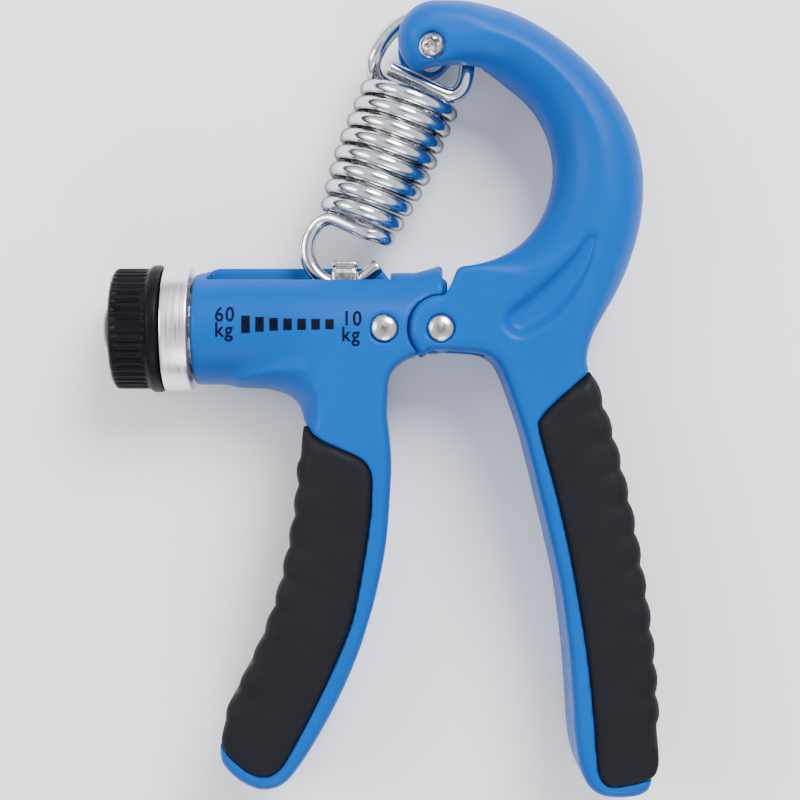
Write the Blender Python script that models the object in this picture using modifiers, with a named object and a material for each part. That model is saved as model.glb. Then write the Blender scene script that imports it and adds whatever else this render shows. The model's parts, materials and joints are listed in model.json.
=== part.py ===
"""Adjustable hand grip strengthener: two hinged handles, a tension spring and a knob that sets its load.

The drawing frame has its origin on the pivot, X along the barrel towards the right handle, Y up
towards the spring and Z towards the printed face. Every size below is in millimetres in that frame.
The strengthener lies on its back face, as it rests on a table.
"""

from math import ceil, cos, hypot, pi, radians, sin

import bmesh
import bpy
from mathutils import Vector

MM = 0.001

# The box around the whole object, in the drawing frame: it sets where the pivot stands in the world.
LEFT_END = -65.9
RIGHT_END = 42.0
BOTTOM_END = -89.6
TOP_END = 63.6

# Handles.
HANDLE_HALF = 11.5
HANDLE_EDGE = 2.4
PAD_HALF = 12.5
PAD_EDGE = 2.6
PAD_SKIN = 2.9
CORE_HALF = 8.7
GAP = 0.3
PAST_FACES = 14.5

# Pivot: the left handle's tongue turns between the right handle's two ears.
EAR_RADIUS = 6.3
TONGUE_HALF = 4.5
TONGUE_RADIUS = 4.4
FORK_HALF = 5.7
FORK_RADIUS = 10.2
RIVET_SHAFT = 1.5
RIVET_HEAD = 2.55
RIVET_SEAT = 2.95
RIVET_SEAT_Z = 10.5
RIVET_TOP_Z = 12.3
SLEEVE_RADIUS = 2.8
WASHER_RADIUS = 4.3
WASHER_THICK = 0.6

# Barrel, with the lead screw along its axis.
BARREL_Y = 0.3
BARREL_RADIUS = 11.5
BARREL_LEFT = -47.9
BARREL_RIGHT = 0.5
BARREL_CHAMFER = 1.6
BORE_RADIUS = 8.4
BORE_END = -8.4
POCKET_LEFT = -15.2
POCKET_RADIUS = 5.4
SLOT_LEFT = -45.2
SLOT_RIGHT = -9.7
SLOT_HALF = 5.6
SCREW_RADIUS = 3.8
SHANK_RADIUS = 3.0
RING_RADIUS = 12.2
RING_LEFT = -53.6
RING_RIGHT = -48.4
KNOB_RADIUS = 11.8
RIM_RADIUS = 12.5
KNOB_LEFT = -63.9
KNOB_RIGHT = -53.9
RIM_LEFT = -56.2
BEARING_RIVET_X = -10.8

# Tension nut.
NUT_LEFT = -24.5
NUT_RIGHT = -15.4
NUT_RADIUS = 8.0
NUT_FLAT_Y = 5.9
LUG_LEFT = -21.1
LUG_RIGHT = -16.0
LUG_TOP = 13.4
LUG_HALF = 3.4

# Spring: a right-handed helix whose axis leans towards the anchor screw.
WIRE_RADIUS = 1.5
WIRE_STEPS = 12
SPRING_TOP = Vector((-5.1, 47.2, 0.0))
SPRING_LEAN = radians(22.6)
SPRING_PITCH = 3.41
SPRING_TURNS = 8.5
HOOK_CENTRE = Vector((-19.1, 15.9, 0.0))
HOOK_RADIUS = 7.0
ANCHOR = Vector((-1.7, 53.9, 0.0))
EYE_Z_START = -0.6
EYE_Z_END = 2.4
HEAD_SLOT_HALF = 4.1
HEAD_SLOT_RADIUS = 12.3
ROLLER_RADIUS = 2.6
SCREW_SHAFT = 1.7
SCREW_HEAD = 2.75

# Right handle's inner arc.
ARC_CENTRE = (2.7, 31.5)
ARC_RADIUS = 19.6

# Pads and small parts.
LEFT_RIBS = 9
RIGHT_RIBS = 11
RIB_HEIGHT = 1.0
NOTCH_Y = 9.7
HUB_RADIUS = 8.7
CAP_RADIUS = 4.9
CAP_SEAT = -62.6
HEAD_POCKET = 3.9
HEAD_SEAT = -59.8
FIXING_RADIUS = 1.4
FIXING_END = -53.0
SCREW_TIP_RADIUS = 2.2
SCREW_TIP_X = -13.1
THREAD_LEFT = -44.9
BUSH_STEP = -46.2
BUSH_RIGHT = -45.5
FLANGE_SEAT = 9.8
LUG_EYE_ROOM = 1.1

# Where the spring's wire is divided between the pieces that stand for its stretch, in turns.
EYE_JOIN = 0.03
UPPER_END = 2.9
MIDDLE_END = 5.6
CUT_TURN = 0.02
HOOK_START = 150
HOOK_SPLIT = 215
HOOK_GAP = 5
HOOK_END = 311
HOOK_TAIL = 3.4

PIVOT = Vector((-(LEFT_END + RIGHT_END) / 2, -(BOTTOM_END + TOP_END) / 2, PAD_HALF)) * MM


# ---------------------------------------------------------------- scene

def clear_scene():
    for thing in list(bpy.data.objects):
        bpy.data.objects.remove(thing)


def new_collection(name, hidden):
    collection = bpy.data.collections.new(name)
    bpy.context.scene.collection.children.link(collection)
    collection.hide_render = hidden
    return collection


def new_axis(name, x, y):
    """An empty on a joint axis: the moving pieces hang from it."""
    empty = bpy.data.objects.new(name, None)
    empty.empty_display_size = 0.01
    empty.location = PIVOT + Vector((x, y, 0.0)) * MM
    PARTS.objects.link(empty)
    return empty


def new_material(name, color, metallic, roughness):
    material = bpy.data.materials.new(name)
    material.use_nodes = True
    shader = material.node_tree.nodes["Principled BSDF"]
    shader.inputs["Base Color"].default_value = (*color, 1.0)
    shader.inputs["Metallic"].default_value = metallic
    shader.inputs["Roughness"].default_value = roughness
    material.diffuse_color = (*color, 1.0)
    return material


# ---------------------------------------------------------------- shapes

def drawn_object(name, data, collection):
    thing = bpy.data.objects.new(name, data)
    thing.location = PIVOT
    collection.objects.link(thing)
    return thing


def as_mesh(thing):
    """Replaces a curve object by the mesh it draws, with its caps welded on."""
    bpy.context.view_layer.update()
    graph = bpy.context.evaluated_depsgraph_get()
    mesh = bpy.data.meshes.new_from_object(thing.evaluated_get(graph))
    name = thing.name
    matrix = thing.matrix_world.copy()
    collection = thing.users_collection[0]
    bpy.data.objects.remove(thing)
    weld(mesh)
    made = bpy.data.objects.new(name, mesh)
    made.matrix_world = matrix
    collection.objects.link(made)
    return made


def weld(mesh):
    shape = bmesh.new()
    shape.from_mesh(mesh)
    bmesh.ops.remove_doubles(shape, verts=shape.verts, dist=1e-6)
    bmesh.ops.recalc_face_normals(shape, faces=shape.faces)
    shape.to_mesh(mesh)
    shape.free()


def plate(name, outline, half, edge, collection, z=0.0):
    """A flat piece of thickness 2 * half, drawn by its outline, with its edges rounded over."""
    curve = bpy.data.curves.new(name, "CURVE")
    curve.dimensions = "2D"
    curve.fill_mode = "BOTH"
    curve.extrude = (half - edge) * MM
    curve.bevel_depth = edge * MM
    curve.offset = -edge * MM
    curve.bevel_resolution = 1
    spline = curve.splines.new("POLY")
    spline.points.add(len(outline) - 1)
    for point, (x, y) in zip(spline.points, outline):
        point.co = (x * MM, y * MM, 0.0, 1.0)
    spline.use_cyclic_u = True
    thing = drawn_object(name, curve, collection)
    thing.location.z += z * MM
    return as_mesh(thing)


def lathe(name, profile, axis, centre, collection, steps=32):
    """Turns a closed (along, radius) profile, listed from its high end to its low end, about X or Z."""
    mesh = bpy.data.meshes.new(name)
    points = [(radius * MM, 0.0, along * MM) for along, radius in profile]
    closed = profile[0][1] > 0
    edges = [(i, i + 1) for i in range(len(points) - 1)]
    if closed:
        edges.append((len(points) - 1, 0))
    mesh.from_pydata(points, edges, [])
    thing = drawn_object(name, mesh, collection)
    thing.location = PIVOT + Vector((*centre, 0.0)) * MM
    if axis == "X":
        thing.rotation_euler = (0.0, pi / 2, 0.0)
    screw = thing.modifiers.new("turn", "SCREW")
    screw.steps = steps
    screw.render_steps = steps
    screw.use_merge_vertices = True
    screw.merge_threshold = 1e-6
    screw.use_smooth_shade = True
    return thing


def block(name, x, y, z, collection):
    """A box between the given (low, high) pairs."""
    outline = [(x[0], y[0]), (x[1], y[0]), (x[1], y[1]), (x[0], y[1])]
    middle = (z[0] + z[1]) / 2
    return plate(name, outline, (z[1] - z[0]) / 2, 0.0, collection, middle)


def wire(name, path, collection, radius=WIRE_RADIUS):
    curve = bpy.data.curves.new(name, "CURVE")
    curve.dimensions = "3D"
    curve.bevel_depth = radius * MM
    curve.bevel_resolution = 2
    curve.use_fill_caps = True
    spline = curve.splines.new("POLY")
    spline.points.add(len(path) - 1)
    for point, place in zip(spline.points, path):
        point.co = (*(Vector(place) * MM), 1.0)
    return drawn_object(name, curve, collection)


def combine(target, operation, other):
    modifier = target.modifiers.new(operation.lower() + "_" + other.name, "BOOLEAN")
    modifier.operation = operation
    modifier.solver = "EXACT"
    modifier.object = other


def cut(target, *cutters):
    for cutter in cutters:
        combine(target, "DIFFERENCE", cutter)


def join(target, *pieces):
    for piece in pieces:
        combine(target, "UNION", piece)


def finish(thing, material, axis=None):
    """Gives a piece its material, and hangs a moving piece from its joint's axis."""
    thing.data.materials.clear()
    thing.data.materials.append(material)
    if thing.type == "MESH":
        thing.data.shade_smooth()
        if not thing.modifiers or thing.modifiers[0].type != "SCREW":
            thing.data.set_sharp_from_angle(angle=radians(35))
    if axis:
        bpy.context.view_layer.update()
        matrix = thing.matrix_world.copy()
        thing.parent = axis
        thing.matrix_parent_inverse = axis.matrix_world.inverted()
        thing.matrix_world = matrix


# ---------------------------------------------------------------- outlines

def circle_points(centre, radius, start, end, count):
    """Points on an arc from start to end, in degrees."""
    angles = [radians(start + (end - start) * i / (count - 1)) for i in range(count)]
    return [(centre[0] + radius * cos(a), centre[1] + radius * sin(a)) for a in angles]


def smooth(points, steps):
    """A rounded open run through the points, with the given number of steps between each two."""
    ends = [points[0], *points, points[-1]]
    run = []
    for before, a, b, after in zip(ends, ends[1:], ends[2:], ends[3:]):
        for i in range(steps):
            t = i / steps
            run.append(tuple(
                0.5 * (2 * a[k] + (b[k] - before[k]) * t
                       + (2 * before[k] - 5 * a[k] + 4 * b[k] - after[k]) * t ** 2
                       + (3 * a[k] - before[k] - 3 * b[k] + after[k]) * t ** 3)
                for k in (0, 1)))
    run.append(tuple(points[-1]))
    return run


def lengths(run):
    total = [0.0]
    for a, b in zip(run, run[1:]):
        total.append(total[-1] + hypot(b[0] - a[0], b[1] - a[1]))
    return total


def point_along(run, total, distance):
    """The point and the left-hand normal at a distance along a run."""
    for i in range(len(run) - 1):
        if total[i + 1] >= distance or i == len(run) - 2:
            a, b = run[i], run[i + 1]
            span = total[i + 1] - total[i]
            t = (distance - total[i]) / span
            x, y = a[0] + (b[0] - a[0]) * t, a[1] + (b[1] - a[1]) * t
            return (x, y), (-(b[1] - a[1]) / span, (b[0] - a[0]) / span)


def ribbed(run, ribs, height):
    """Round ribs standing out of a run's right-hand side."""
    total = lengths(run)
    points = []
    for rib in range(ribs):
        for part in (0.0, 0.2, 0.5, 0.8):
            place, normal = point_along(run, total, total[-1] * (rib + part) / ribs)
            rise = height * sin(pi * part) ** 0.7
            points.append((place[0] - normal[0] * rise, place[1] - normal[1] * rise))
    points.append(run[-1])
    return points


def offset(points, distance):
    """A closed counter-clockwise outline moved outwards by a distance, inwards if it is negative."""
    moved = []
    for i, (x, y) in enumerate(points):
        before, after = points[i - 1], points[(i + 1) % len(points)]
        along = Vector((after[0] - before[0], after[1] - before[1])).normalized()
        moved.append((x + along.y * distance, y - along.x * distance))
    return moved


# ---------------------------------------------------------------- outlines of the two handles

LEFT_PAD_OUTER = [(-26.1, -18.1), (-26.6, -22.0), (-27.2, -31.8), (-28.8, -41.9), (-31.2, -52.0),
                  (-34.7, -61.2), (-39.0, -70.0), (-41.0, -74.6)]
LEFT_PAD_BOTTOM = [(-42.1, -78.4), (-41.3, -81.0), (-38.3, -83.7), (-33.8, -85.4), (-31.4, -84.5)]
LEFT_PAD_INNER = [(-28.4, -80.7), (-24.5, -73.2), (-19.9, -63.3), (-16.9, -55.5), (-15.2, -47.2),
                  (-13.7, -37.6), (-13.2, -29.7), (-14.1, -26.2), (-15.7, -24.5), (-17.5, -23.5),
                  (-22.6, -20.6)]
LEFT_SHOULDER = [(BARREL_RIGHT, 2.8), (-23.0, 2.8), (-27.5, -3.0), (-35.1, -11.0), (-31.3, -12.3),
                 (-28.3, -14.7)]
LEFT_LOWER_OUTER = [(-41.4, -78.0), (-42.3, -80.8), (-41.5, -83.6), (-38.2, -87.0), (-34.6, -88.8)]
CROTCH = [(-10.3, -13.7), (-10.1, -10.2), (-9.4, -8.1), (-7.6, -6.3), (-5.5, -5.2), (-3.1, -4.6)]
LEFT_INNER_EDGE = [(-32.0, -88.5), (-28.3, -85.6), (-24.2, -79.7), (-19.8, -71.3), (-16.1, -63.0),
                   (-13.8, -56.1), (-12.2, -50.2), (-10.4, -40.9), (-9.6, -30.0), (-9.5, -25.9),
                   (-9.6, -21.9), (-9.9, -16.0), (-8.5, -10.0)]
TONGUE_TOP = 9.6
TONGUE_RIGHT = 1.4

RIGHT_PAD_INNER = [(28.5, -8.2), (22.3, -13.7), (19.2, -17.0), (18.7, -19.4), (21.6, -30.1),
                   (23.7, -38.9), (25.5, -47.9), (27.7, -61.2), (29.1, -73.2), (30.0, -83.1)]
RIGHT_PAD_BOTTOM = [(31.9, -87.3), (33.4, -88.0), (39.6, -86.4), (41.0, -84.7), (41.4, -80.0)]
RIGHT_PAD_OUTER = [(41.2, -76.0), (40.4, -63.0), (38.6, -49.0), (36.0, -34.5), (33.0, -22.0),
                   (31.0, -15.5), (28.9, -9.0)]
RIGHT_INNER_EDGE = [(-1.8, -4.1), (5.6, -4.5), (8.0, -4.9), (9.8, -5.8), (11.1, -7.2), (12.4, -9.9),
                    (13.7, -13.5), (15.9, -20.1), (18.5, -30.4), (21.0, -40.9), (22.9, -49.8),
                    (24.4, -61.4), (25.1, -70.6), (25.7, -79.0), (26.4, -83.5), (27.6, -87.2),
                    (30.3, -89.3)]
RIGHT_LOWER_OUTER = [(33.5, -89.6), (38.6, -88.0), (40.6, -86.0), (40.9, -80.0), (40.5, -72.0),
                     (39.2, -58.0), (36.4, -41.0), (33.2, -26.5), (29.6, -13.0)]
RIGHT_BACK_EDGE = [(27.9, -6.6), (27.9, -4.6), (28.6, -1.9), (31.7, 3.6), (34.6, 7.9), (36.6, 12.2),
                   (38.4, 17.1), (39.1, 22.3), (39.4, 27.5), (38.3, 37.2), (33.8, 44.7),
                   (26.8, 52.8), (20.3, 58.1), (12.1, 62.1), (7.9, 63.2), (3.8, 63.6)]
HEAD_CENTRE = (-0.7, 56.0)
HEAD_RADIUS = 7.5
SHOULDER_POINTS = [(3.1, 11.4), (2.9, 6.5)]
RECESS_ROUTE = [(15.2, 1.6), (19.4, 4.4), (23.6, 8.6), (26.8, 13.0), (28.6, 16.8)]
RECESS_HALF_WIDTHS = [2.1, 2.3, 1.8, 1.1, 0.3]
RECESS_DEPTH = 1.8


def left_outline():
    return (LEFT_SHOULDER + LEFT_PAD_OUTER + LEFT_LOWER_OUTER + smooth(LEFT_INNER_EDGE, 2)
            + [(BARREL_RIGHT, -9.0)])


def right_outline():
    ear = circle_points((0.0, 0.0), EAR_RADIUS, 84, 236, 10)
    head = circle_points(HEAD_CENTRE, HEAD_RADIUS, 96, 262, 9)
    arc = circle_points(ARC_CENTRE, ARC_RADIUS, 86, -86, 20)
    return (ear + smooth(RIGHT_INNER_EDGE, 2) + RIGHT_LOWER_OUTER + smooth(RIGHT_BACK_EDGE, 2)
            + head + arc + SHOULDER_POINTS)


def left_pad_outline():
    run = smooth(LEFT_PAD_OUTER, 3)
    plain = 4
    return (run[:plain] + ribbed(run[plain:], LEFT_RIBS, RIB_HEIGHT)
            + smooth(LEFT_PAD_BOTTOM, 2) + smooth(LEFT_PAD_INNER, 2))


def right_pad_outline():
    return (smooth(RIGHT_PAD_INNER, 2) + smooth(RIGHT_PAD_BOTTOM, 2)
            + ribbed(smooth(RIGHT_PAD_OUTER, 3), RIGHT_RIBS, RIB_HEIGHT))


def core_outline(outer, bottom, inner):
    """The bar inside a pad: drawn in from the pad's outer edge and ends, run past its inner edge."""
    pad = outer + bottom + inner
    drawn_in = offset(pad, -PAD_SKIN)
    run_past = offset(pad, PAD_SKIN)
    first = len(outer) + len(bottom)
    return drawn_in[1:first - 1] + run_past[first:-1]


def fit_pad(handle, name, pad, core, material, axis):
    """Seats a rubber pad over a handle's bar, with the usual gap all round."""
    seat = plate(name + "_seat", offset(pad, GAP), PAD_HALF + 1, 0.0, CUTTERS)
    bar = plate(name + "_bar", core, CORE_HALF, 0.6, CUTTERS)
    hollow = plate(name + "_hollow", offset(core, GAP), CORE_HALF + GAP, 0.6, CUTTERS)
    cut(handle, seat)
    join(handle, bar)
    cover = plate(name, pad, PAD_HALF, PAD_EDGE, PARTS)
    cut(cover, hollow)
    finish(cover, material, axis)


def through_hole(name, centre, radius):
    return lathe(name, [(30, 0.0), (30, radius), (-30, radius), (-30, 0.0)], "Z", centre, CUTTERS, 20)


def rivet_hole(name, centre, radius):
    """A hole through both faces, with a round seat at each end for a head."""
    reach = PAST_FACES
    return lathe(name, [
        (reach, 0.0), (reach, RIVET_SEAT), (RIVET_SEAT_Z, RIVET_SEAT), (RIVET_SEAT_Z, radius),
        (-RIVET_SEAT_Z, radius), (-RIVET_SEAT_Z, RIVET_SEAT), (-reach, RIVET_SEAT), (-reach, 0.0),
    ], "Z", centre, CUTTERS, 20)


def rivet(name, centre, material):
    """A shaft with a domed head at each end."""
    head_low = RIVET_SEAT_Z + GAP
    crown = RIVET_TOP_Z
    side = crown - 0.9
    half = [(crown, 0.0), (crown - 0.05, 1.0), (crown - 0.35, 2.0), (side, RIVET_HEAD),
            (head_low, RIVET_HEAD), (head_low, RIVET_SHAFT)]
    profile = half + [(-along, radius) for along, radius in reversed(half)]
    thing = lathe(name, profile, "Z", centre, PARTS, 16)
    finish(thing, material)


# ---------------------------------------------------------------- the pieces

def make_left_handle():
    handle = plate("left_handle", left_outline(), HANDLE_HALF, HANDLE_EDGE, PARTS)
    barrel = lathe("barrel_body", [
        (BARREL_RIGHT, 0.0), (BARREL_RIGHT, BARREL_RADIUS),
        (BARREL_LEFT + BARREL_CHAMFER, BARREL_RADIUS),
        (BARREL_LEFT, BARREL_RADIUS - BARREL_CHAMFER), (BARREL_LEFT, 0.0),
    ], "X", (0.0, BARREL_Y), CUTTERS, 48)
    join(handle, barrel)
    reach = 20.0
    right = TONGUE_RIGHT + 3
    crotch = [(CROTCH[0][0], -reach)] + CROTCH + [(right, CROTCH[-1][1]), (right, -reach)]
    cut(handle, plate("crotch", crotch[::-1], PAST_FACES, 0.0, CUTTERS))
    cheek = ([(right, -reach), (right, reach), (BARREL_RIGHT - 0.9, reach),
              (BARREL_RIGHT - 0.8, BARREL_RADIUS + 0.8), (BARREL_RIGHT, NOTCH_Y)]
             + circle_points((0.0, 0.0), EAR_RADIUS + GAP, 80, 240, 16) + [(-1.2, -reach)])
    middle = (TONGUE_HALF + PAST_FACES) / 2
    depth = (PAST_FACES - TONGUE_HALF) / 2
    cut(handle, plate("ear_room_front", cheek, depth, 0.0, CUTTERS, middle),
        plate("ear_room_back", cheek, depth, 0.0, CUTTERS, -middle))
    tongue = ([(-8.5, -4.2)] + circle_points((0.0, 0.0), TONGUE_RADIUS, -90, 60, 8)
              + [(TONGUE_RIGHT, 6.0), (TONGUE_RIGHT, TONGUE_TOP), (-8.5, TONGUE_TOP)])
    join(handle, plate("tongue_body", tongue, TONGUE_HALF, 0.3, CUTTERS))
    fit_pad(handle, "left_grip_pad", left_pad_outline(),
            core_outline(LEFT_PAD_OUTER, LEFT_PAD_BOTTOM, LEFT_PAD_INNER), RUBBER, None)
    bore = lathe("bore", [
        (BORE_END, 0.0), (BORE_END, POCKET_RADIUS), (POCKET_LEFT, POCKET_RADIUS),
        (POCKET_LEFT, BORE_RADIUS), (BUSH_STEP, BORE_RADIUS),
        (BUSH_STEP, FLANGE_SEAT), (BARREL_LEFT - 5, FLANGE_SEAT), (BARREL_LEFT - 5, 0.0),
    ], "X", (0.0, BARREL_Y), CUTTERS, 32)
    slot = block("slot", (SLOT_LEFT, SLOT_RIGHT), (BARREL_Y, 20.0), (-SLOT_HALF, SLOT_HALF), CUTTERS)
    cut(handle, bore, slot, through_hole("sleeve_hole", (0.0, 0.0), SLEEVE_RADIUS + GAP),
        rivet_hole("bearing_rivet_hole", (BEARING_RIVET_X, 0.0), RIVET_SHAFT + GAP))
    finish(handle, BLUE)


def make_right_handle():
    handle = plate("right_handle", right_outline(), HANDLE_HALF, HANDLE_EDGE, PARTS)
    cut(handle, recess("recess_front", 1), recess("recess_back", -1))
    fit_pad(handle, "right_grip_pad", right_pad_outline(),
            core_outline(RIGHT_PAD_OUTER, RIGHT_PAD_INNER[:1], RIGHT_PAD_INNER[1:]),
            RUBBER, SQUEEZE_AXIS)
    fork = lathe("fork", [(FORK_HALF, 0.0), (FORK_HALF, FORK_RADIUS), (-FORK_HALF, FORK_RADIUS),
                          (-FORK_HALF, 0.0)], "Z", (0.0, 0.0), CUTTERS, 48)
    head_slot = lathe("head_slot", [
        (HEAD_SLOT_HALF, 0.0), (HEAD_SLOT_HALF, HEAD_SLOT_RADIUS),
        (-HEAD_SLOT_HALF, HEAD_SLOT_RADIUS), (-HEAD_SLOT_HALF, 0.0),
    ], "Z", ANCHOR.xy, CUTTERS, 40)
    cut(handle, fork, head_slot, rivet_hole("pivot_hole", (0.0, 0.0), RIVET_SHAFT + GAP),
        rivet_hole("anchor_hole", ANCHOR.xy, SCREW_SHAFT + GAP))
    finish(handle, BLUE, SQUEEZE_AXIS)


def recess(name, side):
    """The tear-shaped hollow in a face of the right handle."""
    route = smooth(RECESS_ROUTE, 3)
    total = lengths(route)
    count = len(route)
    outer, inner = [], []
    for i, place in enumerate(route):
        _, normal = point_along(route, total, max(total[i], 0.01))
        at = i * (len(RECESS_HALF_WIDTHS) - 1) / (count - 1)
        low = min(int(at), len(RECESS_HALF_WIDTHS) - 2)
        narrow, wide = RECESS_HALF_WIDTHS[low + 1], RECESS_HALF_WIDTHS[low]
        width = wide + (narrow - wide) * (at - low)
        outer.append((place[0] - normal[0] * width, place[1] - normal[1] * width))
        inner.append((place[0] + normal[0] * width, place[1] + normal[1] * width))
    cap = circle_points(RECESS_ROUTE[0], RECESS_HALF_WIDTHS[0], 124, 304, 7)[1:-1]
    outline = outer + inner[::-1] + cap
    half = PAST_FACES - HANDLE_HALF
    return plate(name, outline, half, 0.0, CUTTERS, side * (HANDLE_HALF - RECESS_DEPTH + half))


def make_pivot():
    rivet("pivot_rivet", (0.0, 0.0), STEEL)
    sleeve = lathe("pivot_sleeve", [
        (TONGUE_HALF, RIVET_SHAFT + GAP), (TONGUE_HALF, SLEEVE_RADIUS),
        (-TONGUE_HALF, SLEEVE_RADIUS), (-TONGUE_HALF, RIVET_SHAFT + GAP),
    ], "Z", (0.0, 0.0), PARTS, 16)
    finish(sleeve, STEEL)
    for side, name in ((1, "pivot_washer_front"), (-1, "pivot_washer_back")):
        low = TONGUE_HALF + GAP
        ends = sorted((side * low, side * (low + WASHER_THICK)), reverse=True)
        washer = lathe(name, [
            (ends[0], RIVET_SHAFT + GAP), (ends[0], WASHER_RADIUS),
            (ends[1], WASHER_RADIUS), (ends[1], RIVET_SHAFT + GAP),
        ], "Z", (0.0, 0.0), PARTS, 16)
        finish(washer, NYLON)


def make_end_bearing():
    """The block that takes the lead screw's far end, held in the barrel by a rivet."""
    left = POCKET_LEFT + 0.2
    right = BORE_END - GAP
    radius = POCKET_RADIUS - GAP
    pocket = -12.8
    tip = SCREW_TIP_RADIUS + GAP
    bearing = lathe("end_bearing", [(right, 0.0), (right, radius), (left, radius), (left, tip),
                                    (pocket, tip), (pocket, 0.0)], "X", (0.0, BARREL_Y), PARTS, 24)
    hole = through_hole("bearing_hole", (BEARING_RIVET_X, 0.0), RIVET_SHAFT + GAP)
    cut(bearing, hole)
    finish(bearing, NYLON)
    rivet("bearing_rivet", (BEARING_RIVET_X, 0.0), STEEL)


def make_knob():
    """The knob, its cap and ring, and the lead screw that they turn."""
    hub_right = -49.2
    knob = lathe("adjusting_knob", [
        (hub_right, SHANK_RADIUS + GAP), (hub_right, HUB_RADIUS), (KNOB_RIGHT, HUB_RADIUS),
        (KNOB_RIGHT, RIM_RADIUS - 0.4), (KNOB_RIGHT - 0.4, RIM_RADIUS),
        (RIM_LEFT, RIM_RADIUS), (RIM_LEFT - 0.3, KNOB_RADIUS), (KNOB_LEFT + 1.0, KNOB_RADIUS),
        (KNOB_LEFT, KNOB_RADIUS - 1.2), (KNOB_LEFT, CAP_RADIUS + GAP),
        (CAP_SEAT, CAP_RADIUS + GAP), (CAP_SEAT, HEAD_POCKET), (HEAD_SEAT, HEAD_POCKET),
        (HEAD_SEAT, SHANK_RADIUS + GAP),
    ], "X", (0.0, BARREL_Y), PARTS, 40)
    finish(knob, BLACK, SCREW_AXIS)
    cap = lathe("knob_end_cap", [
        (CAP_SEAT - GAP, 0.0), (CAP_SEAT - GAP, CAP_RADIUS), (KNOB_LEFT - 0.5, CAP_RADIUS),
        (KNOB_LEFT - 1.3, CAP_RADIUS - 1.0), (KNOB_LEFT - 1.8, CAP_RADIUS - 2.6), (LEFT_END, 0.0),
    ], "X", (0.0, BARREL_Y), PARTS, 24)
    finish(cap, GREY, SCREW_AXIS)
    ring = lathe("collar_ring", [
        (RING_RIGHT, HUB_RADIUS + GAP), (RING_RIGHT, RING_RADIUS - 0.3),
        (RING_RIGHT - 0.3, RING_RADIUS), (RING_LEFT + 0.3, RING_RADIUS),
        (RING_LEFT, RING_RADIUS - 0.3), (RING_LEFT, HUB_RADIUS + GAP),
    ], "X", (0.0, BARREL_Y), PARTS, 40)
    finish(ring, ALUMINIUM, SCREW_AXIS)
    shank_left = HEAD_SEAT + 0.2
    screw = lathe("lead_screw", [
        (SCREW_TIP_X, 0.0), (SCREW_TIP_X, SCREW_TIP_RADIUS), (-15.3, SCREW_TIP_RADIUS),
        (-15.3, SCREW_RADIUS), (THREAD_LEFT, SCREW_RADIUS), (THREAD_LEFT, SHANK_RADIUS),
        (shank_left, SHANK_RADIUS), (shank_left, FIXING_RADIUS + GAP),
        (FIXING_END + GAP, FIXING_RADIUS + GAP), (FIXING_END + GAP, 0.0),
    ], "X", (0.0, BARREL_Y), PARTS, 24)
    finish(screw, STEEL, SCREW_AXIS)
    head_right = HEAD_SEAT - GAP
    fixing = lathe("knob_fixing_screw", [
        (FIXING_END, 0.0), (FIXING_END, FIXING_RADIUS), (head_right, FIXING_RADIUS),
        (head_right, HEAD_POCKET - GAP), (CAP_SEAT + 0.8, HEAD_POCKET - GAP),
        (CAP_SEAT + GAP, HEAD_POCKET - 1.3), (CAP_SEAT + GAP, 0.0),
    ], "X", (0.0, BARREL_Y), PARTS, 24)
    finish(fixing, STEEL, SCREW_AXIS)


def make_barrel_bush():
    bush = lathe("barrel_bush", [
        (BUSH_RIGHT, SHANK_RADIUS + GAP), (BUSH_RIGHT, BORE_RADIUS - GAP),
        (BUSH_STEP - GAP, BORE_RADIUS - GAP), (BUSH_STEP - GAP, FLANGE_SEAT - GAP),
        (BARREL_LEFT + 0.1, FLANGE_SEAT - GAP), (BARREL_LEFT + 0.1, SHANK_RADIUS + GAP),
    ], "X", (0.0, BARREL_Y), PARTS, 24)
    finish(bush, NYLON)
    washer = lathe("thrust_washer", [
        (BARREL_LEFT - 0.3, SHANK_RADIUS + GAP), (BARREL_LEFT - 0.3, HUB_RADIUS - 0.6),
        (-48.9, HUB_RADIUS - 0.6), (-48.9, SHANK_RADIUS + GAP),
    ], "X", (0.0, BARREL_Y), PARTS, 24)
    finish(washer, STEEL)


def make_tension_nut():
    """The travelling nut: a threaded barrel with a flat, and a lug for the spring's hook."""
    nut = lathe("tension_nut", [
        (NUT_RIGHT, SCREW_RADIUS + GAP), (NUT_RIGHT, NUT_RADIUS),
        (NUT_LEFT, NUT_RADIUS), (NUT_LEFT, SCREW_RADIUS + GAP),
    ], "X", (0.0, BARREL_Y), PARTS, 24)
    above = block("nut_flat", (NUT_LEFT - 1, NUT_RIGHT + 1), (NUT_FLAT_Y, 12.0), (-10.0, 10.0), CUTTERS)
    cut(nut, above)
    lug = block("lug_body", (LUG_LEFT, LUG_RIGHT), (NUT_FLAT_Y - 1.0, LUG_TOP), (-LUG_HALF, LUG_HALF),
                CUTTERS)
    join(nut, lug)
    eye = as_mesh(wire("lug_eye", [(*p, 0.0) for p in circle_points(
        HOOK_CENTRE.xy, HOOK_RADIUS, -150, -30, 17)], CUTTERS, WIRE_RADIUS + LUG_EYE_ROOM))
    cut(nut, eye)
    finish(nut, STEEL, NUT_AXIS)


# ---------------------------------------------------------------- spring

def coil_radius(turn):
    """The helix's mean radius: it narrows over its last turns."""
    full, end, taper_from = 8.4, 6.4, 4.0
    t = max(0.0, (turn - taper_from) / (SPRING_TURNS - taper_from))
    return full + (end - full) * t ** 1.6


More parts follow.
